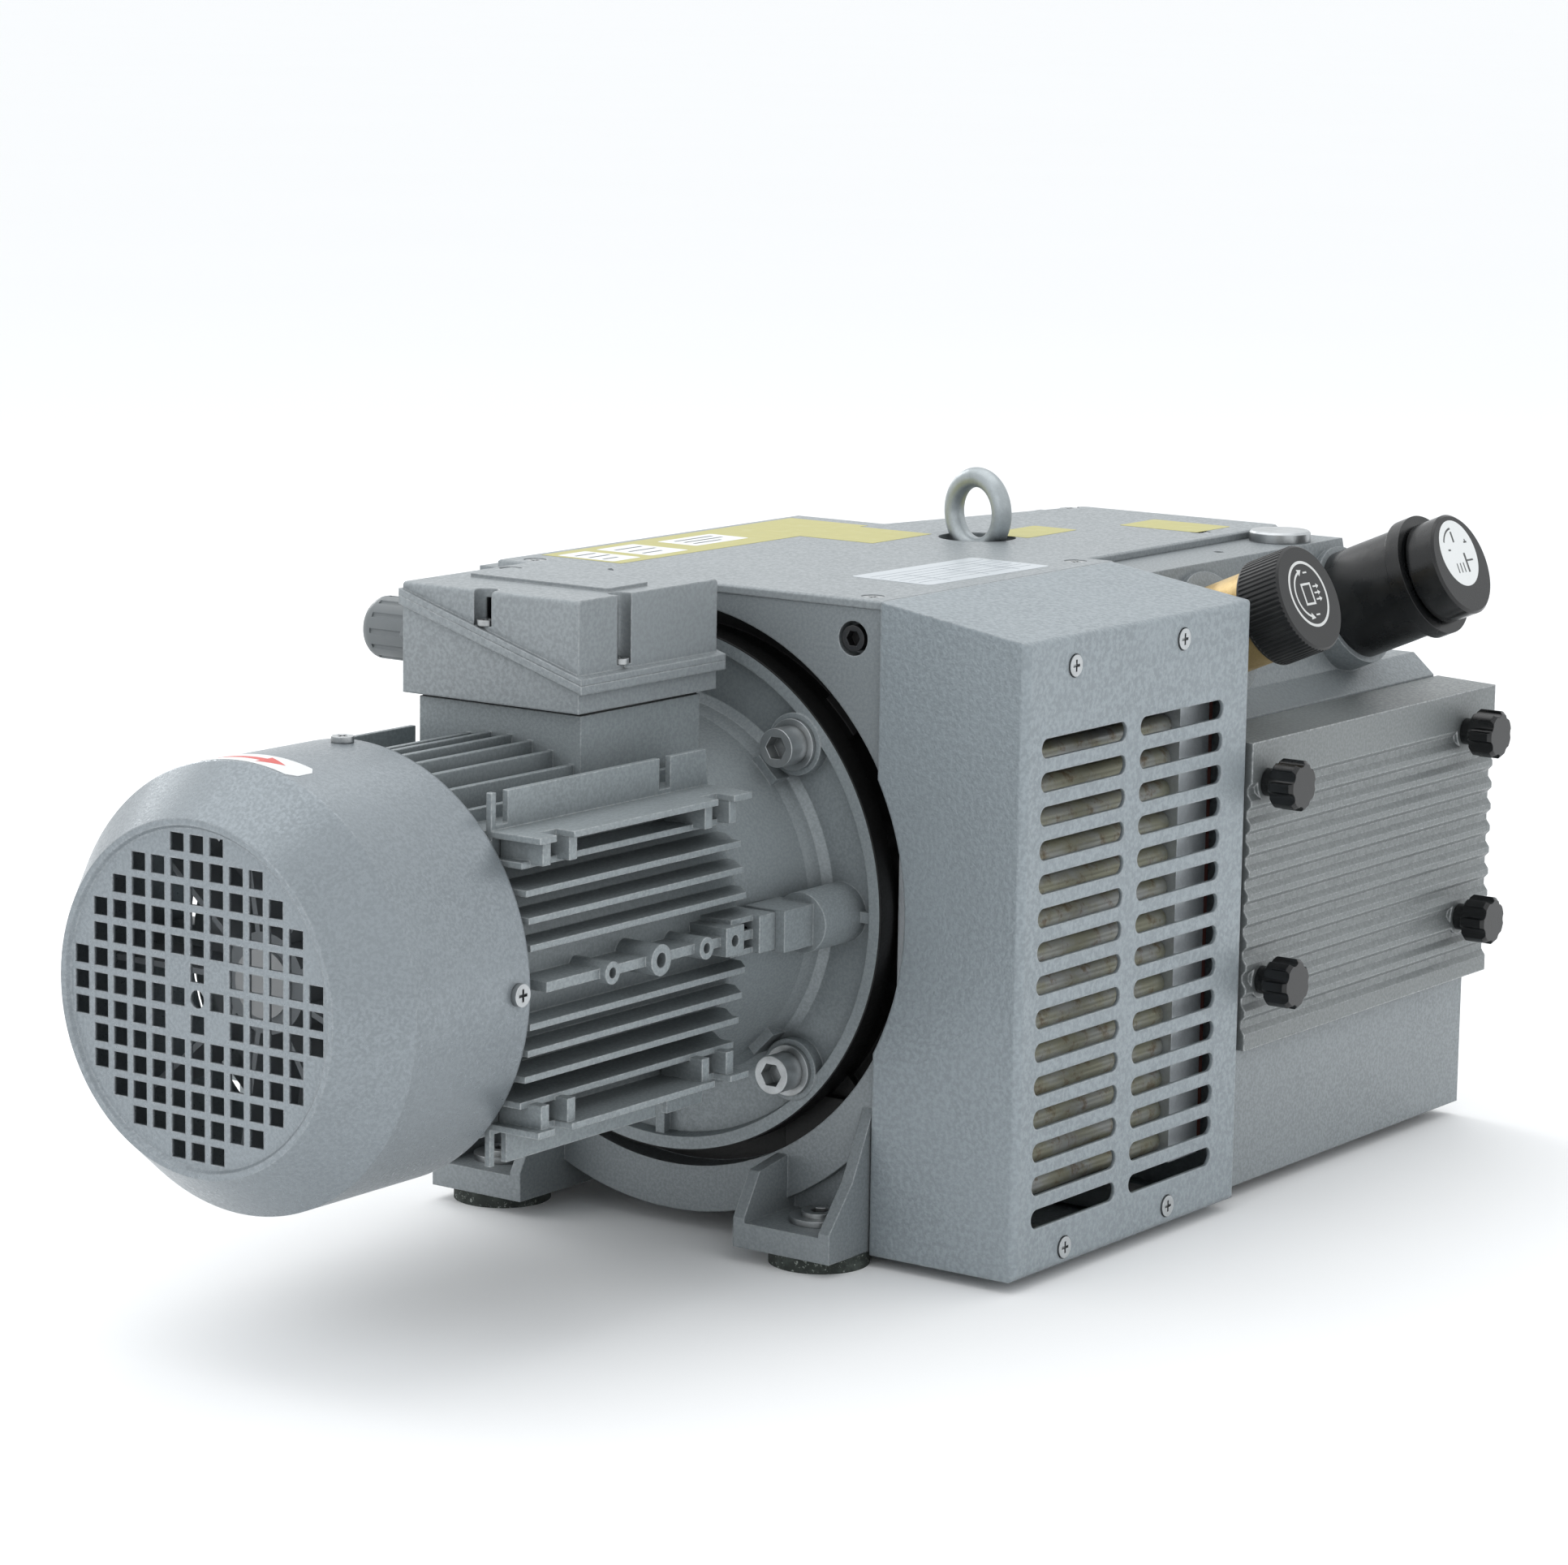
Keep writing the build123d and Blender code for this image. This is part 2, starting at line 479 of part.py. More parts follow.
with BuildPart() as terminal_box_gasket:
    block((PAD_X[0] + 1, PAD_X[1] - 1), (-PAD_HALF_Y + 1, PAD_HALF_Y - 1),
          (BOX_BASE_Z - GASKET_T, BOX_BASE_Z))
    block((PAD_X[0] + 12, PAD_X[1] - 12), (-PAD_HALF_Y + 12, PAD_HALF_Y - 12),
          (BOX_BASE_Z - 3, BOX_BASE_Z + 1), mode=Mode.SUBTRACT)
save(terminal_box_gasket, "terminal_box_gasket")

with BuildPart() as terminal_box_body:
    prism(side_plane, [(-BOX_HALF_Y, BOX_BASE_Z), (-BOX_HALF_Y, PARTING_LOW), (BOX_HALF_Y, PARTING_HIGH),
                       (BOX_HALF_Y, BOX_BASE_Z)], BOX_L)
    parting_rim(-4.0, 0.0)
    block(*box_inside, (BOX_BASE_Z + WALL, BOX_TOP_Z), mode=Mode.SUBTRACT)
    block((PAD_X[0] + 14, PAD_X[1] - 14), (-PAD_HALF_Y + 14, PAD_HALF_Y - 14),
          (BOX_BASE_Z - 1, BOX_BASE_Z + WALL + 1), mode=Mode.SUBTRACT)
    for x, y in BOX_SCREWS:
        disc(up_plane(x, y, parting_z(y) + 5), BOX_SCREW_R, -16.0, mode=Mode.SUBTRACT)
    gland_plane = Plane((GLAND_X, BOX_HALF_Y + 1.5, GLAND_Z), x_dir=(1, 0, 0), z_dir=(0, 1, 0))
    disc(gland_plane, GLAND_R, -WALL - 11, mode=Mode.SUBTRACT)
save(terminal_box_body, "terminal_box_body")

with BuildPart() as terminal_box_lid:
    prism(side_plane, [(-BOX_HALF_Y, PARTING_LOW), (-BOX_HALF_Y, BOX_TOP_Z), (BOX_HALF_Y, BOX_TOP_Z),
                       (BOX_HALF_Y, PARTING_HIGH)], BOX_L)
    fillet(terminal_box_lid.edges().filter_by(Axis.Y), 2.0)
    parting_rim(0.0, 3.0)
    plate_x = (BOX_X[0] + 33.0, BOX_X[0] + 62.0)
    block(plate_x, (-40.0, 38.0), (BOX_TOP_Z - 1, BOX_TOP_Z + 1.5))
    block(*box_inside, (BOX_BASE_Z, BOX_TOP_Z - WALL), mode=Mode.SUBTRACT)
    for x, y in BOX_SCREWS:
        disc(up_plane(x, y, parting_z(y) + 4), SCREW_POCKET_R, 60.0, mode=Mode.SUBTRACT)
        disc(up_plane(x, y, parting_z(y) - 8), BOX_SCREW_R + 0.3, 20.0, mode=Mode.SUBTRACT)
save(terminal_box_lid, "terminal_box_lid")

with BuildPart() as terminal_box_screws:
    for x, y in BOX_SCREWS:
        cross_screw(up_plane(x, y, parting_z(y) + 4), 4.2, 2.6, BOX_SCREW_R - 0.1, 13.0)
save(terminal_box_screws, "terminal_box_screws")

CABLE_R = 7.0
GLAND_HEX_L = 13.0
GLAND_NUT_R = 14.5
GLAND_NUT_L = 27.0
with BuildPart() as cable_gland_body:
    plane = Plane((GLAND_X, BOX_HALF_Y, GLAND_Z), x_dir=(1, 0, 0), z_dir=(0, 1, 0))
    disc(plane, GLAND_R - 0.1, -8.0)
    hexagon(plane, 30.0, GLAND_HEX_L)
    disc(plane.offset(GLAND_HEX_L), 11.0, 11.0)
    disc(plane.offset(-9.0), CABLE_R + 0.5, 40.0, mode=Mode.SUBTRACT)
save(cable_gland_body, "cable_gland_body")

with BuildPart() as cable_gland_nut:
    disc(plane.offset(GLAND_HEX_L + 0.1), GLAND_NUT_R, GLAND_NUT_L)
    fillet(cable_gland_nut.edges().filter_by(GeomType.CIRCLE).sort_by(Axis.Y)[-1], 6.0)
    disc(plane.offset(GLAND_HEX_L), 11.1, 11.2, mode=Mode.SUBTRACT)
    disc(plane.offset(GLAND_HEX_L), CABLE_R, GLAND_NUT_L + 1, mode=Mode.SUBTRACT)
    with BuildSketch(plane.offset(GLAND_HEX_L)) as flutes:
        with PolarLocations(GLAND_NUT_R + 0.6, 12):
            Circle(1.4)
    extrude(flutes.sketch, amount=GLAND_NUT_L - 7, mode=Mode.SUBTRACT)
save(cable_gland_nut, "cable_gland_nut")

# ---------------------------------------------------------------- fan housing and feet
CHAMBER_X = (CASTING_FRONT + 14.0, CASTING_FRONT + 14.0 + FAN_CHAMBER_L)
CASTING_END = CHAMBER_X[1]
FOOT_T = 12.0
GUSSET_T = 6.0
FOOT_IN = 63.0              # inner edge of a foot
FOOT_FRONT = FLANGE_FRONT - 25.0
TOP_OF_CASTING = LID_Z - LID_T
RING_R = FLANGE_R - 1.0
BELLY_R = 156.0
with BuildPart() as fan_housing:
    with BuildSketch(Plane.YZ.offset(CASTING_FRONT)) as outline:
        with Locations((0, SHAFT_HEIGHT)):
            Circle(BELLY_R)
        with Locations((0, (SHAFT_HEIGHT - 60 + TOP_OF_CASTING) / 2)):
            Rectangle(2 * BODY_HALF_WIDTH, TOP_OF_CASTING - SHAFT_HEIGHT + 60)
        with Locations((0, (BODY_BOTTOM + TOP_OF_CASTING) / 2)):
            Rectangle(2 * BODY_HALF_WIDTH, TOP_OF_CASTING - BODY_BOTTOM, mode=Mode.INTERSECT)
    extrude(outline.sketch, amount=CASTING_END - CASTING_FRONT)
    # fan chamber, open to the front through the ring gap around the motor flange
    tube(CHAMBER_X[0], CASTING_END - 8.0, AIR_GAP_R - 20, mode=Mode.SUBTRACT)
    tube(CASTING_FRONT - 1, CASTING_END - 8.0, AIR_GAP_R - 18, RING_R - 24, mode=Mode.SUBTRACT)
    tube(CASTING_FRONT - 1, CHAMBER_X[0] + 1, AIR_GAP_R, mode=Mode.SUBTRACT)
    # seat ring for the motor flange, on four spokes
    tube(MATING_X, CHAMBER_X[0] + 6, RING_R, SPIGOT_R + 0.05)
    with BuildSketch(shaft_plane(CHAMBER_X[0] - 4)) as spokes:
        with PolarLocations(AIR_GAP_R - 10, 4, start_angle=45):
            Rectangle(44.0, 22.0)
        Circle(SPIGOT_R + 10, mode=Mode.SUBTRACT)
    extrude(spokes.sketch, amount=18.0)
    tube(CASTING_END - 9, CASTING_END + 1, 40.0, mode=Mode.SUBTRACT)
    for angle in BOLT_ANGLES:
        spot = Pos(*diagonal(FLANGE_PCD / 2, angle), 0)
        disc(shaft_plane(MATING_X - 1) * spot, 6.1, 24.0, mode=Mode.SUBTRACT)
    # front feet with a gusset along each edge
    for side in (-1, 1):
        low, high = sorted((side * FOOT_IN, side * BODY_HALF_WIDTH))
        block((FOOT_FRONT, CASTING_FRONT + 20), (low, high), (BODY_BOTTOM, BODY_BOTTOM + FOOT_T))
        for edge_y, bend, rise in ((side * FOOT_IN, (12.0, 34.0), 39.0),
                                   (side * (BODY_HALF_WIDTH - GUSSET_T), (18.0, 35.0), 83.0)):
            y0, y1 = sorted((edge_y, edge_y + side * GUSSET_T))
            gusset_plane = Plane(origin=(0, y1, 0), x_dir=(1, 0, 0), z_dir=(0, -1, 0))
            prism(gusset_plane, [(FOOT_FRONT, BODY_BOTTOM), (FOOT_FRONT, BODY_BOTTOM + 14),
                                 (FOOT_FRONT + bend[0], BODY_BOTTOM + bend[1]),
                                 (CASTING_FRONT + 8, BODY_BOTTOM + rise),
                                 (CASTING_FRONT + 8, BODY_BOTTOM)], y1 - y0)
        block((CASTING_FRONT + 6, CASTING_END), (low, high), (BODY_BOTTOM, SHAFT_HEIGHT - 90))
        disc(up_plane(FOOT_X[0], side * FOOT_Y[1], BODY_BOTTOM - 1), CASTING_HOLE_R, FOOT_T + 6,
             mode=Mode.SUBTRACT)
    # air passage to the cooler
    block((CHAMBER_X[0] + 18, CASTING_END - 8), (-BODY_HALF_WIDTH - 1, -CHAMBER_R + 12),
          (SHAFT_HEIGHT - 45, SHAFT_HEIGHT + 45), mode=Mode.SUBTRACT)
    # counterbored corner screws of the front wall
    for y, z in ((-101.0, 290.0), (101.0, 290.0)):
        disc(shaft_plane(CASTING_FRONT - 1) * Pos(y, z - SHAFT_HEIGHT, 0), 8.0, 9.0, mode=Mode.SUBTRACT)
        disc(shaft_plane(CASTING_FRONT - 1) * Pos(y, z - SHAFT_HEIGHT, 0), 4.2,
             CASTING_END - CASTING_FRONT + 2, mode=Mode.SUBTRACT)
save(fan_housing, "fan_housing")

# ---------------------------------------------------------------- pump housing
BODY_START = CASTING_END
PUMP_BACK = 112.0           # +Y face of the pump housing
UPPER_BACK = 45.0           # +Y face of the raised body past the step
STEP_X = 89.0
DECK_Y = -138.0             # -Y edge of the deck beside the lid
SHELF = (-152.0, 241.0)     # foot of the valve wall
LID_EDGE_Y = -103.0
HOUSING_WALL = 8.0
CAVITY_X = (BODY_START - 1.0, 176.0)
CAVITY_Y = (-100.0, 104.0)
CAVITY_Z = (40.0, TOP_OF_CASTING - 5.0)
FILTER_CAVITY_Y = -108.0
PILLAR_R = 9.0
STUD_R = 4.0
PORT_R = 22.4               # G 1 1/2 tapping bore
PORT_L = 22.0
PLATE_SEAT_X = HOUSING_END - PORT_L
CAGE_L = 16.0
GUIDE_PIN_R = 3.0
SUCTION_YZ = (46.0, 150.0)
PRESSURE_YZ = (-42.0, 150.0)
EYE_XY = (73.0, -16.0)
EYE_THREAD_R = 5.0
EYE_HOLE_R = 19.5           # hole in the lid that the ring dips into
VALVE_Z = 269.5
VALVE_Y = SHELF[0] + (VALVE_Z - SHELF[1]) * (DECK_Y - SHELF[0]) / (TOP_OF_CASTING - SHELF[1])
VALVE_SEAT_R = 26.0
VALVE_BOSS_R = 31.0
VALVE_BOSS_L = 9.0
VALVE_BORE_R = 12.0
PLUG_XY = (193.0, -120.5)
PLUG_R = 15.5
DECK_SCREWS = ((48.0, -121.0), (132.0, -121.0))
LID_SCREWS = ((169.0, -88.0), (215.0, 20.0), (60.0, 92.0), (-145.0, 92.0), (-145.0, -104.0), (26.0, -104.0))
LID_SCREW_R = 3.0


def valve_plane(x: float, reach: float = 0.0) -> Plane:
    """A plane across a valve's axis, at a distance out from the valve wall."""
    tilt = radians(VALVE_TILT)
    origin = (x, VALVE_Y - reach * cos(tilt), VALVE_Z + reach * sin(tilt))
    return Plane(origin=origin, x_dir=(1, 0, 0), z_dir=(0, -cos(tilt), sin(tilt)))


across = Plane(origin=(0, 0, 0), x_dir=(0, 1, 0), z_dir=(1, 0, 0))
lower_profile = [(PUMP_BACK, BODY_BOTTOM), (PUMP_BACK, SHELF[1]), SHELF, (FILTER_SEAM, FILTER_TOP + 1.0),
                 (FILTER_SEAM, FILTER_BOTTOM), (LOWER_FACE, FILTER_BOTTOM), (LOWER_FACE, BODY_BOTTOM)]
with BuildPart() as pump_housing:
    block((BODY_START, FILTER_START), (-BODY_HALF_WIDTH, PUMP_BACK), (BODY_BOTTOM + 14, TOP_OF_CASTING))
    prism(across.offset(FILTER_START), lower_profile, HOUSING_END - FILTER_START)
    prism(across.offset(FILTER_START), [(PUMP_BACK, SHELF[1]), (PUMP_BACK, TOP_OF_CASTING),
                                        (DECK_Y, TOP_OF_CASTING), SHELF], STEP_X - FILTER_START)
    prism(across.offset(STEP_X), [(UPPER_BACK, SHELF[1]), (UPPER_BACK, TOP_OF_CASTING),
                                  (DECK_Y, TOP_OF_CASTING), SHELF], UPPER_END - STEP_X)
    # pump chamber, silencer chamber and filter chamber
    block(CAVITY_X, CAVITY_Y, (CAVITY_Z[0], SHELF[1] - HOUSING_WALL), mode=Mode.SUBTRACT)
    block((CAVITY_X[0], STEP_X - HOUSING_WALL), CAVITY_Y, CAVITY_Z, mode=Mode.SUBTRACT)
    block((CAVITY_X[1] + HOUSING_WALL, HOUSING_END - HOUSING_WALL), CAVITY_Y,
          (BODY_BOTTOM + 22, SHELF[1] - HOUSING_WALL), mode=Mode.SUBTRACT)
    block((STEP_X, UPPER_END - HOUSING_WALL), (-118.0, UPPER_BACK - HOUSING_WALL),
          (SHELF[1] - HOUSING_WALL - 1, CAVITY_Z[1]), mode=Mode.SUBTRACT)
    block((STEP_X - HOUSING_WALL - 1, CAVITY_X[1]), (CAVITY_Y[0], UPPER_BACK + 2.0),
          (SHELF[1] - 2 * HOUSING_WALL, SHELF[1] - 3.0), mode=Mode.SUBTRACT)
    block((STEP_X - HOUSING_WALL - 1, CAVITY_X[1]), (CAVITY_Y[0], UPPER_BACK - HOUSING_WALL),
          (SHELF[1] - 2 * HOUSING_WALL, SHELF[1] + HOUSING_WALL), mode=Mode.SUBTRACT)
    tube(CAVITY_X[1] - 1, CAVITY_X[1] + HOUSING_WALL + 1, 36.0, mode=Mode.SUBTRACT)
    block((FILTER_START + HOUSING_WALL, HOUSING_END - HOUSING_WALL), (FILTER_SEAM - 1, FILTER_CAVITY_Y),
          (FILTER_BOTTOM + HOUSING_WALL, FILTER_TOP - HOUSING_WALL), mode=Mode.SUBTRACT)
    for x in KNOB_X:
        for z in KNOB_Z:
            disc(out_plane(x, FILTER_CAVITY_Y + 1, z), PILLAR_R, FILTER_CAVITY_Y + 1 - FILTER_SEAM)
            disc(out_plane(x, FILTER_SEAM + 18, z), STUD_R + 0.2, 22.0, mode=Mode.SUBTRACT)
    # bottom pockets and rear foot pads
    for x0, x1 in ((FILTER_START + 8, FOOT_X[1] - 34), (FOOT_X[1] + 34, HOUSING_END - 8)):
        block((x0, x1), (LOWER_FACE + 8, CAVITY_Y[1]), (BODY_BOTTOM - 1, BODY_BOTTOM + 14),
              mode=Mode.SUBTRACT)
    for side in (-1, 1):
        disc(up_plane(FOOT_X[1], side * FOOT_Y[1], BODY_BOTTOM - 1), CASTING_HOLE_R, 40.0,
             mode=Mode.SUBTRACT)
    # ports on the pump end
    for y, z in (SUCTION_YZ, PRESSURE_YZ):
        spot = Pos(y, z - SHAFT_HEIGHT, 0)
        disc(shaft_plane(HOUSING_END - PORT_L) * spot, PORT_R + 9.0, PORT_L)
        disc(shaft_plane(HOUSING_END - PORT_L - 1) * spot, PORT_R, PORT_L + 2, mode=Mode.SUBTRACT)
    # cage and guide pin of the non-return valve, behind the suction port
    spot = Pos(SUCTION_YZ[0], SUCTION_YZ[1] - SHAFT_HEIGHT, 0)
    disc(shaft_plane(PLATE_SEAT_X - CAGE_L) * spot, PORT_R + 8.0, CAGE_L, PORT_R + 3.2)
    with BuildSketch(shaft_plane(PLATE_SEAT_X - CAGE_L)) as bridge:
        with Locations((SUCTION_YZ[0], SUCTION_YZ[1] - SHAFT_HEIGHT)):
            Rectangle(2 * PORT_R + 12, 8.0)
            Rectangle(8.0, 2 * PORT_R + 12)
    extrude(bridge.sketch, amount=3.0)
    disc(shaft_plane(PLATE_SEAT_X - CAGE_L) * spot, GUIDE_PIN_R, CAGE_L)
    # valve bosses
    for x in VALVE_X:
        disc(valve_plane(x, -14.0), VALVE_BOSS_R, 14.0 + VALVE_BOSS_L)
        disc(valve_plane(x, -22.0), VALVE_BORE_R, 60.0, mode=Mode.SUBTRACT)
        disc(valve_plane(x, VALVE_BOSS_L - 6.0), VALVE_SEAT_R - 6, 20.0, mode=Mode.SUBTRACT)
    # eyebolt boss and cover screw holes
    disc(up_plane(*EYE_XY, CAVITY_Z[1] + 1), 20.0, -26.0)
    disc(up_plane(*EYE_XY, TOP_OF_CASTING + 1), EYE_THREAD_R, -34.0, mode=Mode.SUBTRACT)
    disc(up_plane(*EYE_XY, TOP_OF_CASTING + 1), 16.5, -9.0, mode=Mode.SUBTRACT)
    for x, y in (*LID_SCREWS, *DECK_SCREWS):
        if x > BODY_START:
            disc(up_plane(x, y, TOP_OF_CASTING + 1), LID_SCREW_R - 0.4, -14.0, mode=Mode.SUBTRACT)
    for y in (-101.0, 101.0):
        disc(shaft_plane(BODY_START - 1) * Pos(y, 290.0 - SHAFT_HEIGHT, 0), 4.0 + RUNNING, 30.0,
             mode=Mode.SUBTRACT)
save(pump_housing, "pump_housing")

with BuildPart() as casting_screws:
    for y in (-101.0, 101.0):
        socket_screw(fan_side(CASTING_FRONT + 8.0, y, 290.0), 8.0, CASTING_END - CASTING_FRONT + 8.0)
save(casting_screws, "casting_screws")

# ---------------------------------------------------------------- pump internals
FRONT_PLATE_X = -42.0
CYLINDER_X = (FRONT_PLATE_X + END_PLATE_T, FRONT_PLATE_X + END_PLATE_T + CYLINDER_L)
REAR_PLATE_X = CYLINDER_X[1]
CYLINDER_R = BORE_R + CYLINDER_WALL
PLATE_R = 90.0
PUMP_BEARING_R = 26.0
PUMP_BEARING_L = 12.0
with BuildPart() as pump_cylinder:
    tube(CYLINDER_X[0], CYLINDER_X[1], CYLINDER_R, BORE_R, rise=-ECCENTRICITY)
    block((CYLINDER_X[0] + 10, CYLINDER_X[1] - 10), (-60.0, 60.0),
          (CAVITY_Z[0], SHAFT_HEIGHT - ECCENTRICITY - BORE_R - 4))
    for y in (-40.0, 40.0):
        block((CYLINDER_X[0] + 50, CYLINDER_X[1] - 50), (y - 8, y + 8),
              (SHAFT_HEIGHT - 120, SHAFT_HEIGHT - 20), mode=Mode.SUBTRACT)
save(pump_cylinder, "pump_cylinder")

with BuildPart() as end_plates:
    for x0 in (FRONT_PLATE_X, REAR_PLATE_X):
        tube(x0, x0 + END_PLATE_T, PLATE_R, rise=-ECCENTRICITY)
        tube(x0, x0 + END_PLATE_T, PUMP_BEARING_R, mode=Mode.SUBTRACT)
save(end_plates, "end_plates")

SEAL_L = END_PLATE_T - PUMP_BEARING_L
with BuildPart() as pump_bearings:
    for start in (CYLINDER_X[0] - PUMP_BEARING_L, REAR_PLATE_X):
        tube(start, start + PUMP_BEARING_L, PUMP_BEARING_R, PUMP_SHAFT_R + RUNNING)
save(pump_bearings, "pump_bearings")

with BuildPart() as shaft_seals:
    for start in (FRONT_PLATE_X, REAR_PLATE_X + PUMP_BEARING_L):
        tube(start, start + SEAL_L, PUMP_BEARING_R, PUMP_SHAFT_R + RUNNING)
save(shaft_seals, "shaft_seals")

MOTOR_HUB_X = (CHAMBER_X[0] + 3.0, CHAMBER_X[0] + 39.0)
SPIDER_X = (MOTOR_HUB_X[1], MOTOR_HUB_X[1] + 14.0)
PUMP_HUB_X = (SPIDER_X[1], FRONT_PLATE_X - 4.0)
HUB_R = 30.0
VANE_ANGLES = [360.0 / VANE_COUNT * turn + 12.0 for turn in range(VANE_COUNT)]
VANE_TIP = ROTOR_R - 0.1 - VANE_TRAVEL
SLOT_FLOOR = VANE_TIP - VANE_H - 0.15
with BuildPart() as pump_rotor:
    tube(CYLINDER_X[0] + FACE_GAP, CYLINDER_X[1] - FACE_GAP, ROTOR_R)
    tube(SHAFT_END_X + 1.5, REAR_PLATE_X + END_PLATE_T + 2, PUMP_SHAFT_R)
    with BuildSketch(shaft_plane(CYLINDER_X[0])) as rotor_slots:
        for angle in VANE_ANGLES:
            with Locations(Pos(*diagonal((SLOT_FLOOR + ROTOR_R + 6) / 2, angle), 0) * Rot(0, 0, angle)):
                Rectangle(ROTOR_R + 6 - SLOT_FLOOR, VANE_T + 2 * SLIDING)
    extrude(rotor_slots.sketch, amount=CYLINDER_L, mode=Mode.SUBTRACT)
save(pump_rotor, "pump_rotor")

for number, angle in enumerate(VANE_ANGLES, start=1):
    with BuildPart() as vane:
        with BuildSketch(shaft_plane(CYLINDER_X[0] + FACE_GAP)) as vane_section:
            with Locations(Pos(*diagonal(VANE_TIP - VANE_H / 2, angle), 0) * Rot(0, 0, angle)):
                Rectangle(VANE_H, VANE_T)
        extrude(vane_section.sketch, amount=CYLINDER_L - 2 * FACE_GAP)
    save(vane, f"vane_{number}")

with BuildPart() as coupling_spider:
    tube(SPIDER_X[0], SPIDER_X[1], HUB_R - 1, max(SHAFT_R + 3.0, PUMP_SHAFT_R + 2.0))
    with BuildSketch(shaft_plane(SPIDER_X[0])) as gaps:
        with PolarLocations(HUB_R, 6):
            Circle(4.0)
    extrude(gaps.sketch, amount=SPIDER_X[1] - SPIDER_X[0], mode=Mode.SUBTRACT)
save(coupling_spider, "coupling_spider")
with BuildPart() as coupling_pump_hub:
    tube(PUMP_HUB_X[0], PUMP_HUB_X[1], HUB_R, PUMP_SHAFT_R + RUNNING)
save(coupling_pump_hub, "coupling_pump_hub")

WHEEL_R = SPIGOT_R + 8.0
with BuildPart() as cooling_fan:
    tube(MOTOR_HUB_X[0], MOTOR_HUB_X[1], HUB_R, SHAFT_END_R)
    tube(MOTOR_HUB_X[1] - 5, MOTOR_HUB_X[1] - 2, WHEEL_R, SHAFT_END_R)
    with BuildSketch(shaft_plane(MOTOR_HUB_X[0] + 8)) as fan_blades:
        with PolarLocations((HUB_R + WHEEL_R) / 2 - 2, 12):
            Rectangle(WHEEL_R - HUB_R, 2.5)
    extrude(fan_blades.sketch, amount=MOTOR_HUB_X[1] - MOTOR_HUB_X[0] - 12)
save(cooling_fan, "cooling_fan")

SUCTION_SPOT = Pos(SUCTION_YZ[0], SUCTION_YZ[1] - SHAFT_HEIGHT, 0)
with BuildPart() as non_return_valve_plate:
    disc(shaft_plane(PLATE_SEAT_X - 2.8) * SUCTION_SPOT, PORT_R + 2.6, 2.5, GUIDE_PIN_R + SLIDING)
save(non_return_valve_plate, "non_return_valve_plate")

# ---------------------------------------------------------------- side hood and cooler
HOOD_BACK = -BODY_HALF_WIDTH - 1.0
HOOD_SCREWS = ((-119.5, 283.0), (-26.0, 285.0), (-117.0, 14.0), (-27.0, 15.0))
HOOD_SCREW_R = 2.5
SLOT_COLUMNS = ((-145.5, -73.9), (-62.1, 12.0))
hood_outline = [(HOOD_BACK, HOOD_BOTTOM), (HOOD_BACK, LID_Z), (HOOD_FACE, LID_Z - HOOD_DROP),
                (HOOD_FACE, HOOD_BOTTOM)]
with BuildPart() as side_hood:
    prism(across.offset(HOOD_START), hood_outline, HOOD_END - HOOD_START)
    front_edges = side_hood.edges().filter_by(lambda edge: abs(edge.center().Y - HOOD_FACE) < 0.01)
    fillet(front_edges, 3.5)
    offset(amount=-SHEET, openings=side_hood.faces().sort_by(Axis.Y)[-1])
    tube(HOOD_START - 1, HOOD_START + 6, AIR_GAP_R, mode=Mode.SUBTRACT)
    with BuildSketch(out_plane(0, HOOD_FACE - 1, 0)) as vents:
        for low, high in SLOT_COLUMNS:
            for row in range(SLOT_ROWS):
                with Locations(((low + high) / 2, SLOT_FIRST_Z - row * SLOT_PITCH)):
                    SlotOverall(high - low, SLOT_H)
    extrude(vents.sketch, amount=-8.0, mode=Mode.SUBTRACT)
    for x, z in HOOD_SCREWS:
        disc(out_plane(x, HOOD_FACE - 1, z), HOOD_SCREW_R + 0.3, -6.0, mode=Mode.SUBTRACT)
        disc(out_plane(x, HOOD_FACE + 0.8, z), 5.4, 5.0, mode=Mode.SUBTRACT)
save(side_hood, "side_hood")

with BuildPart() as side_hood_screws:
    for x, z in HOOD_SCREWS:
        cross_screw(out_plane(x, HOOD_FACE + 0.8, z), 5.0, 1.6, HOOD_SCREW_R, 8.5)
save(side_hood_screws, "side_hood_screws")

COOLER_Y = (HOOD_FACE + 12.0, -BODY_HALF_WIDTH - 9.5)
COOLER_Z = (SLOT_FIRST_Z - 218.0, SLOT_FIRST_Z + 14.0)
HEADER_X = (HOOD_START + 6.0, HOOD_START + 18.0)
MANIFOLD_X = (HOOD_END - 43.0, HOOD_END - 17.0)
TUBE_R = 5.2
TUBE_COUNT = 14
TUBE_DROP = 8.0             # the first tube lies this far below the first slot
TUBE_ROWS_Y = (COOLER_Y[0] + 10.0, COOLER_Y[0] + 34.0)
tube_places = [(y, SLOT_FIRST_Z - TUBE_DROP - step * SLOT_PITCH)
               for y in TUBE_ROWS_Y for step in range(TUBE_COUNT)]
with BuildPart() as cooler_headers:
    block(HEADER_X, COOLER_Y, COOLER_Z)
    block(MANIFOLD_X, COOLER_Y, COOLER_Z)
    with BuildSketch(across.offset(HEADER_X[0])) as tube_holes:
        with Locations(*tube_places):
            Circle(TUBE_R)
    extrude(tube_holes.sketch, amount=MANIFOLD_X[0] + 8.0 - HEADER_X[0], mode=Mode.SUBTRACT)
save(cooler_headers, "cooler_headers")
with BuildPart() as cooler_tubes:
    with BuildSketch(across.offset(HEADER_X[0])) as tube_sections:
        with Locations(*tube_places):
            Circle(TUBE_R)
    extrude(tube_sections.sketch, amount=MANIFOLD_X[0] + 8.0 - HEADER_X[0])
save(cooler_tubes, "cooler_tubes")

